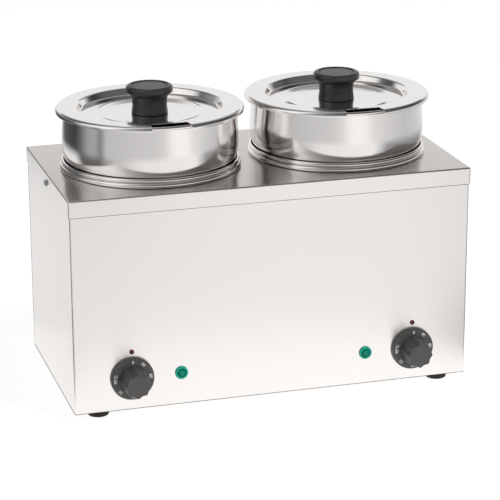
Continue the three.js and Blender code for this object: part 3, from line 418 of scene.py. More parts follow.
# %% Plastics and rubber
def moulded(name, colours, roughness, pebble_mm=0.6, height_mm=0.002, **settings):
    """Plastic with a slow mottle of colour, 8 mm across, and the pebble of its mould."""
    material, tree, shader = start_finish(name, **settings)
    mottle = pattern(tree, (0.12,) * 3)
    pebble = pattern(tree, (1 / pebble_mm,) * 3)
    skin = add_node(tree, "ShaderNodeMix", {
        "data_type": "RGBA", 6: hex_to_linear(colours[0]), 7: hex_to_linear(colours[1])},
        {0: mottle})
    gloss = add_node(tree, "ShaderNodeMapRange", {
        "To Min": roughness - 0.06, "To Max": roughness + 0.06}, {"Value": mottle})
    bumps = add_node(tree, "ShaderNodeBump", {
        "Strength": 0.5, "Distance": height_mm * MM}, {"Height": pebble})
    wire(tree, shader, skin.outputs[2], gloss.outputs[0], bumps.outputs[0])
    return material


BLACK_PHENOLIC = moulded("black_phenolic", ("#2a2827", "#32302f"), 0.36, 0.6, 0.02, IOR=1.62)
BLACK_NYLON = moulded("black_nylon", ("#3b3a38", "#444240"), 0.46, 0.6, 0.02, IOR=1.56)
RUBBER = moulded("black_rubber", ("#141414", "#1d1d1c"), 0.8, 0.8, 0.03, IOR=1.52)
GREEN_RING = moulded("green_polycarbonate_ring", ("#078f7a", "#0a9c86"), 0.34, IOR=1.58,
                     Specular_IOR_Level=0.2)
GREEN_CAP = moulded("green_polycarbonate_cap", ("#02705b", "#038069"), 0.4, IOR=1.58,
                    Specular_IOR_Level=0.15)
RED_STUD = moulded("dark_red_polycarbonate", ("#42090d", "#521015"), 0.36, IOR=1.45)
CERAMIC = moulded("cream_ceramic", ("#cfc5ac", "#ddd4bf"), 0.6, 0.8, 0.02, IOR=1.55)
GREY_SLEEVE = moulded("grey_glass_sleeve", ("#7a7a7c", "#8c8c8e"), 0.75, 0.9, 0.05, IOR=1.5)
WHITE_PRINT = moulded("white_pad_print", ("#e4e2df", "#f2f1ee"), 0.5, IOR=1.5)
print("moulded finishes:", *(finish.name for finish in (
    BLACK_PHENOLIC, BLACK_NYLON, RUBBER, GREEN_RING, GREEN_CAP, RED_STUD, CERAMIC,
    GREY_SLEEVE, WHITE_PRINT)))

# %% [markdown]
# **Small metal parts.** Zinc plate on screws has a soft grey patchiness, about 3 mm across; the
# copper capillary is warm and slightly dulled; the heater's tube is straw-brown from heat.

# %% Plated, copper and heated metal
def plated(name, colours, roughness):
    """Metal whose colour and gloss wander in small patches."""
    material, tree, shader = start_finish(name, Metallic=1.0)
    patches = pattern(tree, (0.35,) * 3, detail=4.0)
    metal = add_node(tree, "ShaderNodeMix", {
        "data_type": "RGBA", 6: hex_to_linear(colours[0]), 7: hex_to_linear(colours[1])},
        {0: patches})
    gloss = add_node(tree, "ShaderNodeMapRange", {
        "To Min": roughness - 0.1, "To Max": roughness + 0.1}, {"Value": patches})
    crystals = add_node(tree, "ShaderNodeBump", {
        "Strength": 0.2, "Distance": 0.02 * MM}, {"Height": patches})
    wire(tree, shader, metal.outputs[2], gloss.outputs[0], crystals.outputs[0])
    return material


ZINC_PLATE = plated("zinc_plated_steel", ("#aeb0ad", "#c4c5c1"), 0.32)
COPPER = plated("drawn_copper", ("#a9623c", "#c27a52"), 0.34)
HEATED_STEEL = plated("heat_tinted_steel", ("#6a5f55", "#85796c"), 0.45)
print("plated finishes:", ZINC_PLATE.name, COPPER.name, HEATED_STEEL.name)

# %% [markdown]
# ## The case
# The front, both sides and two narrow return flanges are one sheet, folded round upright
# corners. It could be a box with bevels, but a folded sheet is hollow and open at the back and
# below, so it is drawn as the sheet seen from above, a C shape, stood upright. A thin dark strip
# of painted shade runs under the tray's skirt and along the bottom edge, drawing both shadow
# lines.

# %% Folded case sheet
SHEET = 1.0        # mm, case and tray
FOLD_RADIUS = 2.2  # outside of a folded corner
REAR_FLANGE = 14   # width of the flanges that the rear panel screws to
FIT_GAP = 0.3      # between a sheet and what lies against it
SCREW_HOLE = 2.1   # radius
PANEL_HOLES = {"spindle": 4, "lamp_bezel": 6.5, "index_stud": 1.9}  # radii
SHADE_LINE_STANDOFF = 0.25  # outer face of the painted shade strip, out from the sheet
SHADE_LINE_GAUGE = 0.24
SHADE_LINE_UNDER_SKIRT, SHADE_LINE_AT_FLOOR = 0.8, 0.5  # how much of each painted shade strip shows


def drill(radius, axis, centre, reach=6, steps=32):
    """A bar along the x, y or z axis through a point, to cut a round hole with; in mm."""
    bar = spun([(0, -reach), (radius, -reach), (radius, reach), (0, reach)], steps=steps)
    turns = {"x": Matrix.Rotation(math.radians(90), 4, "Y"), "y": FACE_FRONT, "z": Matrix()}
    return lean(bar, turns[axis], centre)


def dress_sheet(piece):
    """Brushed finish on a sheet piece: scratches run level on every face."""
    lay_grain(piece, 2, 2, 1)
    # the third finish, dark rubber, colours the strips of painted shade
    for material in (BRUSHED_WIDTHWAYS, BRUSHED_DEPTHWAYS, RUBBER):
        piece.data.materials.append(material)
    for face in piece.data.polygons:
        if face.material_index == 0:
            face.material_index = int(abs(face.normal.x) > 0.7)


def add_painted_shade_line(shape, outline, gauge, low, high):
    """A thin dark strip along a sheet that paints a shadow line: its faces take the third
    material.
    """
    shade_strip = upright(thicken(outline, gauge), low, high)
    for face in shade_strip.faces:
        face.material_index = 2
    mesh = bpy.data.meshes.new("shade_strip")
    shade_strip.to_mesh(mesh)
    shade_strip.free()
    shape.from_mesh(mesh)
    bpy.data.meshes.remove(mesh)
    return shape


def front_holes():
    """Cutters for the spindles, lamps and studs."""
    front = box_mm("front_side_wrap")[0].y
    for side in SIDES:
        for node, radius in PANEL_HOLES.items():
            place = middle_mm(f"{side}_{node}")
            yield drill(radius, "y", (place.x, front, place.z))


def screw_holes(corners, axis):
    """Cutters for the screws with these names."""
    for name in corners:
        yield drill(SCREW_HOLE, axis, middle_mm(f"{name}_screw"), 12)


REAR_SCREWS = [f"rear_{level}_{side}" for level in ("lower", "upper") for side in SIDES]
TRAY_SCREWS = [f"{side}_tray" for side in SIDES]
low, high = box_mm("front_side_wrap")
flange_end = high.x - SHEET - REAR_FLANGE
plan = soften([
    (flange_end, high.y), (high.x, high.y, FOLD_RADIUS), (high.x, low.y, FOLD_RADIUS),
    (low.x, low.y, FOLD_RADIUS), (low.x, high.y, FOLD_RADIUS), (-flange_end, high.y)])
folded = carve(upright(thicken(plan, SHEET), low.z, high.z), *front_holes(),
               *screw_holes(REAR_SCREWS, "y"), *screw_holes(TRAY_SCREWS, "x"))
skirt_end = box_mm("top_tray")[0].z
left, right, front = low.x - SHADE_LINE_STANDOFF, high.x + SHADE_LINE_STANDOFF, low.y - SHADE_LINE_STANDOFF
shade_line_path = soften([(right, high.y), (right, front, FOLD_RADIUS), (left, front, FOLD_RADIUS),
               (left, high.y)])
# painted shade: dark strips under the tray's skirt and at the case's bottom edge stand in for
# shadow lines
add_painted_shade_line(folded, shade_line_path, SHADE_LINE_GAUGE, skirt_end - SHADE_LINE_UNDER_SKIRT, skirt_end)
add_painted_shade_line(folded, shade_line_path, SHADE_LINE_GAUGE, low.z, low.z + SHADE_LINE_AT_FLOOR)
case_sheet = finish_piece("case_sheet", folded, "case", "brushed_steel", "front_side_wrap")
dress_sheet(case_sheet)
print("case sheet:", len(case_sheet.data.polygons), "faces")

# %% [markdown]
# The rear panel is a flat sheet with eased corners, laid over the case's flanges.

# %% Rear panel
GLAND_HOLE = 8.3   # mm, radius
PANEL_CORNER = 2


def plate_outline(low_x, high_x, low_y, high_y, radius):
    """A rectangle with rounded corners."""
    corners = [(low_x, low_y), (high_x, low_y), (high_x, high_y), (low_x, high_y)]
    return soften([(*corner, radius) for corner in corners], closed=True)


low, high = box_mm("rear_panel")
panel = upright(plate_outline(low.x, high.x, low.z, high.z, PANEL_CORNER), -high.y, -low.y)
panel = carve(lean(panel, FACE_FRONT, (0, 0, 0)),
              drill(GLAND_HOLE, "y", middle_mm("cord_gland"), 20), *screw_holes(REAR_SCREWS, "y"))
rear_panel = finish_piece("rear_cover", panel, "case", "brushed_steel", "rear_panel")
dress_sheet(rear_panel)
print("rear cover:", len(rear_panel.data.polygons), "faces")

# %% [markdown]
# The tray is pressed: its top runs over a 2 mm round into the skirt. It is swept round the
# rectangle from its underside, down inside the skirt, and back up outside. Its two openings
# are cut afterwards and hidden by the collars.

# %% Pressed tray
TRAY_TOP = box_mm("top_tray")[1].z
TRAY_ROUND = 2      # mm, outside of the round from top to skirt
WELL_OPENING = 106  # radius
WELL_AXIS = {side: Vector((*middle_mm(f"{side}_collar").xy, TRAY_TOP)) for side in SIDES}


def swept(low, high, corner, section):
    """Sweeps (inset, height) points round a rectangle with rounded corners, and caps it."""
    shape = bmesh.new()
    rings = []
    for inset, height in section:
        outline = plate_outline(low.x + inset, high.x - inset, low.y + inset, high.y - inset,
                                max(corner - inset, 0.1))  # never quite sharp
        rings.append([shape.verts.new(Vector((p.x, p.y, height)) * MM) for p in outline])
    for lower, upper in zip(rings, rings[1:]):
        for k in range(len(lower)):
            shape.faces.new((lower[k - 1], lower[k], upper[k], upper[k - 1]))
    shape.faces.new(rings[0])
    shape.faces.new(rings[-1])
    return shape


low, high = box_mm("top_tray")
skirt = [(2.4, high.z - SHEET), (SHEET, high.z - SHEET, 1.4), (SHEET, low.z), (0.15, low.z),
         (0, low.z + 0.15), (0, high.z, TRAY_ROUND), (2.4, high.z)]
openings = [drill(WELL_OPENING, "z", WELL_AXIS[side], steps=144) for side in SIDES]
pressed = carve(swept(low, high, FOLD_RADIUS, soften(skirt)), *openings,
                *screw_holes(TRAY_SCREWS, "x"))
tray = finish_piece("pressed_tray", pressed, "case", "brushed_steel", "top_tray")
dress_sheet(tray)
print("tray:", len(tray.data.polygons), "faces")

# %% [markdown]
# ## Screws and feet
# The pan-head screws get a cross recess, which is what makes a small bright dot read as a
# screw. One maker serves all ten, and only the way they face differs.

# %% Screws
CASE_SCREW = (1.8, 4, 2.2)    # mm: shank's radius, head's radius and height
FOOT_SCREW = (2.2, 4.8, 2.6)
SHANK_LENGTH = 6
RECESS_WIDTH, RECESS_DEPTH = 1.0, 1.1  # of the cross


def cross_screw(name, size, turn, place):
    """A screw about +Z with the underside of its head at z = 0, then turned and placed."""
    shank, head, height = size
    outline = soften([
        (0, -SHANK_LENGTH), (shank, -SHANK_LENGTH), (shank, 0), (head, 0),
        (head, height * 0.45, 0.4), (head * 0.72, height, 1.2), (0, height)])
    blades = [upright(plate_outline(-a, a, -b, b, 0.1), height - RECESS_DEPTH, height + 1)
              for a, b in ((head / 2, RECESS_WIDTH / 2), (RECESS_WIDTH / 2, head / 2))]
    shape = lean(carve(spun(outline, steps=32), *blades), turn, place)
    screw = finish_piece(f"{name}_cross", shape, "case", "zinc", name)
    screw.data.materials.append(ZINC_PLATE)
    return screw


low, high = box_mm("rear_panel")
for corner in REAR_SCREWS:
    place = middle_mm(f"{corner}_screw")
    cross_screw(f"{corner}_screw", CASE_SCREW, FACE_REAR, (place.x, high.y + FIT_GAP, place.z))
for side, sign in (("left", -1), ("right", 1)):
    place = middle_mm(f"{side}_tray_screw")
    outward = Matrix.Rotation(math.radians(90 * sign), 4, "Y")
    cross_screw(f"{side}_tray_screw", CASE_SCREW, outward,
                (sign * (box_mm("top_tray")[1].x + FIT_GAP), place.y, place.z))

# %% [markdown]
# The feet are rubber bumpers, tapered and rounded below, with the screw sunk in a recess.

# %% Feet
FOOT_RECESS, FOOT_BORE, FOOT_RECESS_TOP = 6, 2.5, 4.5  # mm: two radii and a height
FOOT_HEAD_HEIGHT = 4.2  # underside of the screw's head

for end in ("front", "rear"):
    for side in SIDES:
        node = f"{end}_{side}_foot"
        place, top = middle_mm(node), box_mm(node)[1].z
        outline = soften([
            (FOOT_RECESS, 0), (12.6, 0, 1.2), (14, top - 0.6, 0.6), (13.6, top),
            (FOOT_BORE, top), (FOOT_BORE, FOOT_RECESS_TOP), (FOOT_RECESS, FOOT_RECESS_TOP)])
        foot = finish_piece(f"{node}_bumper", spun(outline, (place.x, place.y, 0), 64),
                            "case", "rubber", node)
        foot.data.materials.append(RUBBER)
        cross_screw(f"{node}_screw", FOOT_SCREW, Matrix.Rotation(math.pi, 4, "X"),
                    (place.x, place.y, FOOT_HEAD_HEIGHT))
print("feet at", [round(v) for v in middle_mm("front_left_foot")])

# %% [markdown]
# ## Collars, wells and pots
# All heights here are measured up from the top of the tray, and outlines are (radius, height).
# A collar shows two bright half-round beads with a dark groove between them; the pot's shoulder
# sits in its seat. The well hangs below by a narrow flange, with the heater's stud under it.

# %% Collars and wells
def round_piece(name, outline, side, body, slot, material, node, steps=144):
    """A piece spun about a well's axis, with its outline's heights measured from the tray."""
    piece = finish_piece(name, spun(outline, WELL_AXIS[side], steps), body, slot, node)
    piece.data.materials.append(material)
    return piece


COLLAR = [(104.6, -8), (105.6, -8), (105.6, 0.3), *arc(108.15, 3.35, 3.05, -90, 82),
          *arc(106.95, 8.95, 2.35, -82, 90), (106.6, 11.3), (104.6, 8)]
WELL_SHEET = 0.8
WELL = thicken(soften([(0, -144), (106.8, -144, 12), (106.8, -1.3), (116, -1.3)]), WELL_SHEET)
HEATER_STUD = [(3, -144.8), (3, -163.2), (0, -163.2)]
for side in SIDES:
    round_piece(f"{side}_collar_ring", COLLAR, side, "case", "polished_steel", COLLAR_STEEL,
                f"{side}_collar")
    round_piece(f"{side}_well_shell", WELL[:-1] + HEATER_STUD, side, "case", "brushed_steel",
                WELL_STEEL, f"{side}_well")
print("collar outline points:", len(COLLAR), "well outline points:", len(WELL) + 2)

# %% [markdown]
# The pot is one drawn sheet: straight in the water, stepped out at the seat, swelling above
# the collar to its widest place, then closing again to the neck and a rolled rim. The swell
# turns by only a few degrees, so its corners get very large radii; that keeps the reflections
# flowing.

# %% Pots
POT_SHEET = 0.8
POT_LINE = soften([
    (0, -131.2), (101.8, -131.2, 14), (101.8, 0, 8), (103.3, 8, 2), (104.0, 11.3, 3),
    (106.9, 20.5, 40), (107.7, 35, 120), (105.5, 70.1, 3), (105.5, 72.4)])
POT_RIM = arc(107.8, 72.4, 2.3, 180, -60, 15)
for side in SIDES:
    round_piece(f"{side}_soup_pot", thicken(POT_LINE[:-1] + POT_RIM, POT_SHEET), side,
                f"{side}_pot", "polished_steel", POT_STEEL, f"{side}_pot", steps=192)
print("pot outline points:", 2 * len(POT_LINE + POT_RIM))

# %% [markdown]
# ## Lids
# A lid is pressed: a flat flange, a sunk middle with a shallow round panel, and an edge turned
# down over the pot's rim. The two panels aren't quite alike: the left one is dished by a little
# over 2 mm, so half of it mirrors a darker part of the room, and the right one has a softer
# step. The ladle notch is punched from the front, with rounded inner corners.

# %% Lids
LID_SHEET = 1.0
LID_PANEL = {"left": [(2.5, 65.9), (23, 65.9, 20), (50, 67, 60), (63, 68.3, 2), (65.5, 68, 2)],
             "right": [(2.5, 66), (60, 66, 12), (70, 68, 12)]}
LID_RIM = [(85, 68, 3), (89, 76, 2.6), (115.4, 76, 4.4), (115.0, 70.2)]
NOTCH_INNER, NOTCH_OUTER = -96.0, -119  # mm, forward of the lid's axis
NOTCH_INNER_HALF, NOTCH_OUTER_HALF = 21.5, 25.5
NOTCH_CORNER = 3


def notch_cutter(axis):
    """The punch for the ladle notch."""
    outline = soften([
        (-NOTCH_OUTER_HALF, NOTCH_OUTER), (NOTCH_OUTER_HALF, NOTCH_OUTER),
        (NOTCH_INNER_HALF, NOTCH_INNER, NOTCH_CORNER),
        (-NOTCH_INNER_HALF, NOTCH_INNER, NOTCH_CORNER)], closed=True)
    return lean(upright(outline, 68.5, 78), Matrix(), axis)


for side in SIDES:
    outline = thicken(soften(LID_PANEL[side] + LID_RIM), LID_SHEET)
    pressed = carve(spun(outline, WELL_AXIS[side], 192), notch_cutter(WELL_AXIS[side]))
    lid = finish_piece(f"{side}_pressed_lid", pressed, f"{side}_lid", "polished_steel",
                       f"{side}_lid")
    lid.data.materials.append(LID_STEEL)
print("lid:", len(lid.data.polygons), "faces")

# %% [markdown]
# The lid knob is one phenolic moulding: a waisted stem that widens at its foot, a hollow cove,
# and a thick cap whose top has a groove round a slightly dished disc.

# %% Lid knobs
LID_KNOB = soften([
    (0, 79.3), (2.5, 79.3), (2.5, 66.3), (22.2, 66.3, 0.4), (22.0, 69.0, 4), (21.1, 74, 20),
    (21.2, 83, 10), (22.6, 87.6, 6), (25.4, 90.8, 2), (28.6, 92.2, 3), (28.6, 98.6, 2.8),
    (25.6, 100.5, 1.6), (22.8, 100.3, 0.8), (21.8, 98.7, 0.3), (20.9, 98.7, 0.3),
    (20.5, 99.5, 0.4), (0, 99.8)])
for side in SIDES:
    round_piece(f"{side}_lid_grip", LID_KNOB, side, f"{side}_lid", "black_plastic", BLACK_PHENOLIC,
                f"{side}_lid_knob", steps=96)
print("lid knob outline points:", len(LID_KNOB))

# %% [markdown]
# ## Controls
# Each dial is a round disc with an eight-ridged grip. The grip is lofted: the same ridged
# outline, smaller toward the front, with hollow flutes between rounded ridges. The numbers are
# set as thin raised lettering, since a pad print stands a little proud of the plastic.

# %% Dial knobs
DIAL_DISC = [(0, 0), (26.5, 0), (26.5, 4, 1.2), (24.6, 6, 1.4), (0, 6.2)]
GRIP_SIDES = 8
GRIP_LOW, GRIP_HIGH = 5, 32  # mm, in front of the dial's back
GRIP_RADIUS = 18.6           # to the octagon's corners, at the disc
GRIP_TAPER = 0.86            # front of the grip over its root
RIDGE_TRIM = 0.965           # how much the corners are rounded off
FLUTE_DEPTH = 1.2            # hollow of each side
GRIP_SECTIONS = ((0, 0), (0.25, 0), (0.5, 0), (0.75, 0), (0.96, 0), (0.985, 0.35), (1, 1.0))
SPINDLE_BORE = 3.4           # radius
DIAL_MARKS = ("0", "40°C", "50", "60", "70", "80", "90")
FIRST_MARK, MARK_STEP = 85, 48  # degrees anticlockwise from the top, to 40 and onward
MARK_SIZE, MARK_RADIUS, MARK_HEIGHT, MARK_RELIEF = 5.4, 21.6, 6.15, 0.06  # mm


def ridged_outline(radius, steps=10):
    """An octagon's outline with rounded ridges and hollow sides."""
    half = math.pi / GRIP_SIDES
    points = []
    for k in range(GRIP_SIDES * 2 * steps):
        angle = k * half / steps
        off = (angle % (2 * half)) - half
        reach = min(radius * math.cos(half) / math.cos(off), radius * RIDGE_TRIM)
        reach -= FLUTE_DEPTH * math.cos(off * GRIP_SIDES / 2) ** 2
        points.append(Vector((reach * math.sin(angle), reach * math.cos(angle))))
    return points


def grip_shape():
    """The grip, lofted through sections given as (part of the way up, inset)."""
    shape = bmesh.new()
    rings = []
    for part, inset in GRIP_SECTIONS:
        outline = ridged_outline(GRIP_RADIUS * (1 + (GRIP_TAPER - 1) * part) - inset)
        height = GRIP_LOW + (GRIP_HIGH - GRIP_LOW) * part
        rings.append([shape.verts.new(Vector((p.x, p.y, height)) * MM) for p in outline])
    for lower, upper in zip(rings, rings[1:]):
        for k in range(len(lower)):
            shape.faces.new((lower[k - 1], lower[k], upper[k], upper[k - 1]))
    shape.faces.new(rings[0])
    shape.faces.new(rings[-1])
    return shape


def add_lettering(shape, text, angle):
    """Raised numbers at an angle round the dial, their tops outward."""
    curve = bpy.data.curves.new("lettering", "FONT")
    curve.body, curve.size, curve.extrude = text, MARK_SIZE * MM, MARK_RELIEF * MM
    curve.align_x, curve.align_y, curve.resolution_u = "CENTER", "CENTER", 3
    writing = bpy.data.objects.new("lettering", curve)
    bpy.context.scene.collection.objects.link(writing)
    bpy.context.view_layer.update()
    mesh = bpy.data.meshes.new_from_object(
        writing.evaluated_get(bpy.context.evaluated_depsgraph_get()))
    turn = Matrix.Rotation(math.radians(angle), 4, "Z") @ Matrix.Translation(
        Vector((0, MARK_RADIUS, MARK_HEIGHT)) * MM)
    mesh.transform(turn)
    before = len(shape.faces)
    shape.from_mesh(mesh)
    shape.faces.ensure_lookup_table()
    for face in shape.faces[before:]:
        face.material_index = 1
    bpy.data.objects.remove(writing)
    bpy.data.curves.remove(curve)
    bpy.data.meshes.remove(mesh)


def dial_shape():
    """Disc, grip, bore and numbers of one dial, facing +Z."""
    knob = carve(spun(soften(DIAL_DISC), steps=96), grip_shape(), operation="UNION")
    knob = carve(knob, drill(SPINDLE_BORE, "z", (0, 0, 0), 15, 24))
    for count, mark in enumerate(DIAL_MARKS):
        add_lettering(knob, mark, FIRST_MARK + MARK_STEP * (count - 1) if count else 0)
    return knob


for side in SIDES:
    place, back = middle_mm(f"{side}_dial_knob"), box_mm(f"{side}_dial_knob")[1].y
    knob = lean(dial_shape(), FACE_FRONT, (place.x, back, place.z))
    dial = finish_piece(f"{side}_temperature_dial", knob, f"{side}_dial", "black_plastic",
                        f"{side}_dial_knob")
    dial.data.materials.append(BLACK_NYLON)
    dial.data.materials.append(WHITE_PRINT)
print("dial:", len(dial.data.polygons), "faces")

# %% [markdown]
# The lamp is a green ring round a darker domed lens, and the groove between them is deep enough
# to stay in shadow, which draws a dark circle. The stud above each dial is a dark red button
# with an eased rim.

# %% Lamps and studs
LAMP_RING = soften([
    (0, -22), (6.2, -22), (6.2, 0), (8, 0), (8, 1.4, 0.8), (6.9, 2, 0.6), (5.3, 2, 0.2),
    (5.3, -3.3), (0, -3.3)])
LENS_RADIUS, LENS_CROWN, LENS_FACE = 4.2, 1.1, 2  # mm
LENS = [(0, -3), (5, -3), (5, -2),
        *[Vector((LENS_RADIUS * math.cos(turn), LENS_FACE + LENS_CROWN * math.sin(turn)))
          for turn in (0, 0.2, 0.4, 0.65, 0.9, 1.2, math.pi / 2)]]
STUD = soften([(0, -5), (1.6, -5), (1.6, 0), (3, 0), (3, 0.55, 0.3), (2.3, 0.9, 0.5), (0, 0.7)])


def front_piece(node, name, outline, slot, material):
    """A small piece spun about a line out of the front panel."""
    place = middle_mm(node)
    face = box_mm("front_side_wrap")[0].y - FIT_GAP
    shape = lean(spun(outline, steps=64), FACE_FRONT, (place.x, face, place.z))
    piece = finish_piece(name, shape, "case", slot, node)
    piece.data.materials.append(material)


for side in SIDES:
    front_piece(f"{side}_lamp_bezel", f"{side}_lamp_ring", LAMP_RING, "green_plastic", GREEN_RING)
    front_piece(f"{side}_lamp_lens", f"{side}_lamp_dome", LENS, "green_lens", GREEN_CAP)
    front_piece(f"{side}_index_stud", f"{side}_index_button", STUD, "red_plastic", RED_STUD)
print("lamp ring points:", len(LAMP_RING))

# %% [markdown]
# ## The rest of the model
# The cord gland at the back is spun like the lamps. Pieces inside the case are only seen when a
# pot is lifted or from below. They keep their measured mesh and get the real part's finish.

# %% Finishes for the hidden parts
GLAND = soften([
    (4, -10), (8, -10), (8, 0), (11.5, 0), (11.5, 4, 0.8), (10, 4.2, 0.4), (10, 10, 0.8),
    (6.6, 14, 0.8), (4, 14)])
place = middle_mm("cord_gland")
shape = lean(spun(GLAND, steps=64), FACE_REAR,
             (place.x, box_mm("rear_panel")[1].y + FIT_GAP, place.z))
gland = finish_piece("cord_entry", shape, "case", "black_plastic", "cord_gland")
gland.data.materials.append(BLACK_NYLON)
HIDDEN = {"base_plate": WELL_STEEL, "terminal_block": CERAMIC, "earth_stud": ZINC_PLATE,
          "cord_gland_nut": BLACK_NYLON}
HIDDEN_PAIRS = {
    "heater_ring": HEATED_STEEL, "heater_plate": ZINC_PLATE, "heater_nut": ZINC_PLATE,
    "thermal_cutout": CERAMIC, "spindle": ZINC_PLATE, "thermostat": GREY_SLEEVE,
    "sensor": COPPER, "loom": GREY_SLEEVE, "lid_washer": ZINC_PLATE, "lid_screw": ZINC_PLATE}
for side in SIDES:
    HIDDEN.update({f"{side}_{part}": finish for part, finish in HIDDEN_PAIRS.items()})
for node, finish in HIDDEN.items():
    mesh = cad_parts[node].data
    mesh.materials.clear()
    mesh.materials.append(finish)
print("hidden parts finished:", len(HIDDEN))

# %% [markdown]
# ## Floor, tent and lights
# Polished steel shows its surroundings more than itself, so the surroundings are designed: a
# round light tent, seen only in reflections, whose wall is brighter and darker by direction.
# Bright walls in front and behind make the broad light middle of each pot, and the dark gap on
# the left makes the upright dark bands. The floor glows, so that it stays white under the
# kettle with only a faint contact shadow.

# %% Floor and world
FLOOR_GLOW = 0.87
FLOOR_ALBEDO = 0.3
FLOOR_RADIUS, FLOOR_DROP = 12, 0.0005  # metres; the feet stand just clear of it
WORLD_LIGHT = 0.3
WHITE = (1, 1, 1, 1)


def glow(name, strength, albedo=0.0):
    """A white surface with some light of its own."""
    material, tree, shader = start_finish(name, Roughness=1.0, Specular_IOR_Level=0.0)
    shader.inputs["Base Color"].default_value = (albedo, albedo, albedo, 1)
    shader.inputs["Emission Color"].default_value = WHITE
    shader.inputs["Emission Strength"].default_value = strength
    return material, tree, shader


floor = bpy.data.objects.new("floor", bpy.data.meshes.new("floor"))
disc = bmesh.new()
bmesh.ops.create_circle(disc, cap_ends=True, segments=96, radius=FLOOR_RADIUS)
bmesh.ops.translate(disc, verts=disc.verts, vec=(0, 0, -FLOOR_DROP))
disc.to_mesh(floor.data)
disc.free()
floor.data.materials.append(glow("white_floor", FLOOR_GLOW, FLOOR_ALBEDO)[0])
bpy.context.scene.collection.objects.link(floor)
world = bpy.data.worlds.new("studio")
world.use_nodes = True
backdrop = world.node_tree.nodes["Background"]
backdrop.inputs["Color"].default_value = WHITE
backdrop.inputs["Strength"].default_value = WORLD_LIGHT
bpy.context.scene.world = world
print("floor glow", FLOOR_GLOW)

# %% [markdown]
# The tent's light levels are listed here. Directions are counted from the camera, in degrees,
# growing toward the camera's right. The ring of table round the kettle is bright ahead and
# behind and dark over a narrow stretch on the left and a wider one on the right. The wall above
# it has a dark gap on the left; higher up there is a bright panel on the left and a dark stretch
# on the right. Each band fades into the next over a few centimetres, and behind the kettle
# the top of the wall is dimmed, so that the steep back of each lid's recess stays dark.

# %% Light levels
TABLE = ((-180, 0.92), (-102, 0.85), (-90, 0.12), (-66, 0.12), (-45, 0.58), (-15, 0.89),
         (55, 0.95), (72, 0.3), (130, 0.25), (150, 0.8), (180, 0.9))
WALL = ((-180, 0.94), (-145, 0.85), (-135, 0.2), (-125, 0.08), (-100, 0.04), (-90, 0.14),
        (-80, 0.36), (-70, 0.42), (-62, 0.24), (-55, 0.58), (0, 0.67), (12, 0.76), (20, 0.94),
        (30, 1.04), (42, 1.0), (52, 0.82), (70, 0.72), (95, 0.6), (120, 0.68), (150, 0.85),
        (180, 0.94))
OVERHEAD = ((-180, 0.9), (-140, 0.9), (-125, 0.3), (-96, 0.2), (-82, 0.9), (-52, 1.05),
            (-32, 0.4), (-10, 0.2), (40, 0.12), (128, 0.12), (145, 0.9), (180, 0.9))
WALL_STARTS = (80, 150)       # mm: heights between which one band fades into the next
OVERHEAD_STARTS = (400, 480)
SHADE_STARTS = (655, 690)
SHADE_BEHIND = (0, 300)       # mm behind the middle
SHADE_DEPTH = 0.65
TENT_RADIUS, TENT_HEIGHT, TABLE_RADIUS = 850, 1500, 350  # mm


def tent_glow():
    """The tent's light by direction and height, all worked out in its nodes."""
    material, tree, shader = glow("tent_wall", 1.0)
    place = add_node(tree, "ShaderNodeTexCoord")
    facing = add_node(tree, "ShaderNodeMapping", {"Rotation": (0, 0, math.radians(-CAMERA_TURN))},
                      {"Vector": place.outputs["Object"]})
    x, y, z = add_node(tree, "ShaderNodeSeparateXYZ", None,
                       {"Vector": facing.outputs["Vector"]}).outputs
    ahead = add_node(tree, "ShaderNodeMath", {"operation": "MULTIPLY", 1: -1.0}, {0: y})
    angle = add_node(tree, "ShaderNodeMath", {"operation": "ARCTAN2"}, {0: x, 1: ahead.outputs[0]})
    turns = add_node(tree, "ShaderNodeMath", {"operation": "DIVIDE", 1: 2 * math.pi},
                     {0: angle.outputs[0]})
    turn = add_node(tree, "ShaderNodeMath", {"operation": "ADD", 1: 0.5}, {0: turns.outputs[0]})
    light = None
    for levels, starts in ((TABLE, None), (WALL, WALL_STARTS), (OVERHEAD, OVERHEAD_STARTS)):
        ramp = add_node(tree, "ShaderNodeValToRGB", None, {"Fac": turn.outputs[0]})
        stops = ramp.color_ramp.elements
        while len(stops) < len(levels):
            stops.new(0.5)
        for stop, (direction, level) in zip(stops, levels):
            stop.position = (direction + 180) / 360
            stop.color = (level, level, level, 1)
        if starts is None:
            light = ramp.outputs["Color"]
            continue
        fade = add_node(tree, "ShaderNodeMapRange", {
            "From Min": starts[0] * MM, "From Max": starts[1] * MM}, {"Value": z})
        light = add_node(tree, "ShaderNodeMix", {"data_type": "RGBA"}, {
            0: fade.outputs[0], 6: light, 7: ramp.outputs["Color"]}).outputs[2]
    behind = add_node(tree, "ShaderNodeMapRange", {
        "From Min": SHADE_BEHIND[0] * MM, "From Max": SHADE_BEHIND[1] * MM}, {"Value": y})
    high_up = add_node(tree, "ShaderNodeMapRange", {
        "From Min": SHADE_STARTS[0] * MM, "From Max": SHADE_STARTS[1] * MM,
        "To Max": SHADE_DEPTH}, {"Value": z})
    shade = add_node(tree, "ShaderNodeMath", {"operation": "MULTIPLY"},
                     {0: behind.outputs[0], 1: high_up.outputs[0]})
    left_over = add_node(tree, "ShaderNodeMath", {"operation": "SUBTRACT", 0: 1.0},
                         {1: shade.outputs[0]})
    dimmed = add_node(tree, "ShaderNodeMath", {"operation": "MULTIPLY"},
                      {0: light, 1: left_over.outputs[0]})
    tree.links.new(dimmed.outputs[0], shader.inputs["Emission Strength"])
    return material


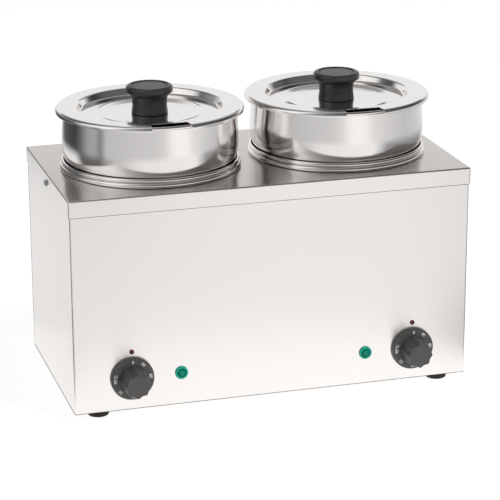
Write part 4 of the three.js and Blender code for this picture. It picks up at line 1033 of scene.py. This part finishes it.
print("tent bands:", len(TABLE), len(WALL), len(OVERHEAD), "levels")

# %% [markdown]
# The tent is a ring of table, a round wall and a roof in one mesh. Only reflections can see it,
# so it lights nothing directly and doesn't show behind the kettle.

# %% Light tent
TENT_SIDES = 96


def light_tent():
    """Table ring, wall and roof in one mesh that only reflections can see."""
    shape = bmesh.new()
    turns = [2 * math.pi * k / TENT_SIDES for k in range(TENT_SIDES)]
    edges = ((TABLE_RADIUS, 1), (TENT_RADIUS, 1), (TENT_RADIUS, TENT_HEIGHT))
    rings = [[shape.verts.new(Vector((radius * math.cos(t), radius * math.sin(t), height)) * MM)
              for t in turns] for radius, height in edges]
    for lower, upper in zip(rings, rings[1:]):
        for k in range(TENT_SIDES):
            shape.faces.new((lower[k - 1], lower[k], upper[k], upper[k - 1]))
    shape.faces.new(rings[-1])
    mesh = bpy.data.meshes.new("light_tent")
    shape.to_mesh(mesh)
    shape.free()
    mesh.materials.append(tent_glow())
    tent = bpy.data.objects.new("light_tent", mesh)
    bpy.context.scene.collection.objects.link(tent)
    for kind in ("camera", "diffuse", "shadow", "transmission", "volume_scatter"):
        setattr(tent, f"visible_{kind}", False)
    return tent


tent = light_tent()
print("tent faces:", len(tent.data.polygons))

# %% [markdown]
# Two large soft lamps shape the plastics and lay the faint shadow. They are hidden from
# reflections, where the tent does the work.

# %% Soft lamps
def soft_lamp(name, place, size, power):
    """A round area lamp aimed at the kettle; place and size in mm, power in watts."""
    lamp = bpy.data.objects.new(name, bpy.data.lights.new(name, "AREA"))
    lamp.data.shape, lamp.data.size, lamp.data.energy = "DISK", size * MM, power
    lamp.location = Vector(place) * MM
    lamp.rotation_euler = (AIM - Vector(place)).to_track_quat("-Z", "Y").to_euler()
    lamp.visible_glossy = False
    bpy.context.scene.collection.objects.link(lamp)


LAMP_SIZE = 1300  # mm across
soft_lamp("key", (1300, -1300, 1900), LAMP_SIZE, 55)
soft_lamp("fill", (-1700, -900, 1300), LAMP_SIZE, 3)
bpy.context.scene.view_settings.view_transform = "Standard"
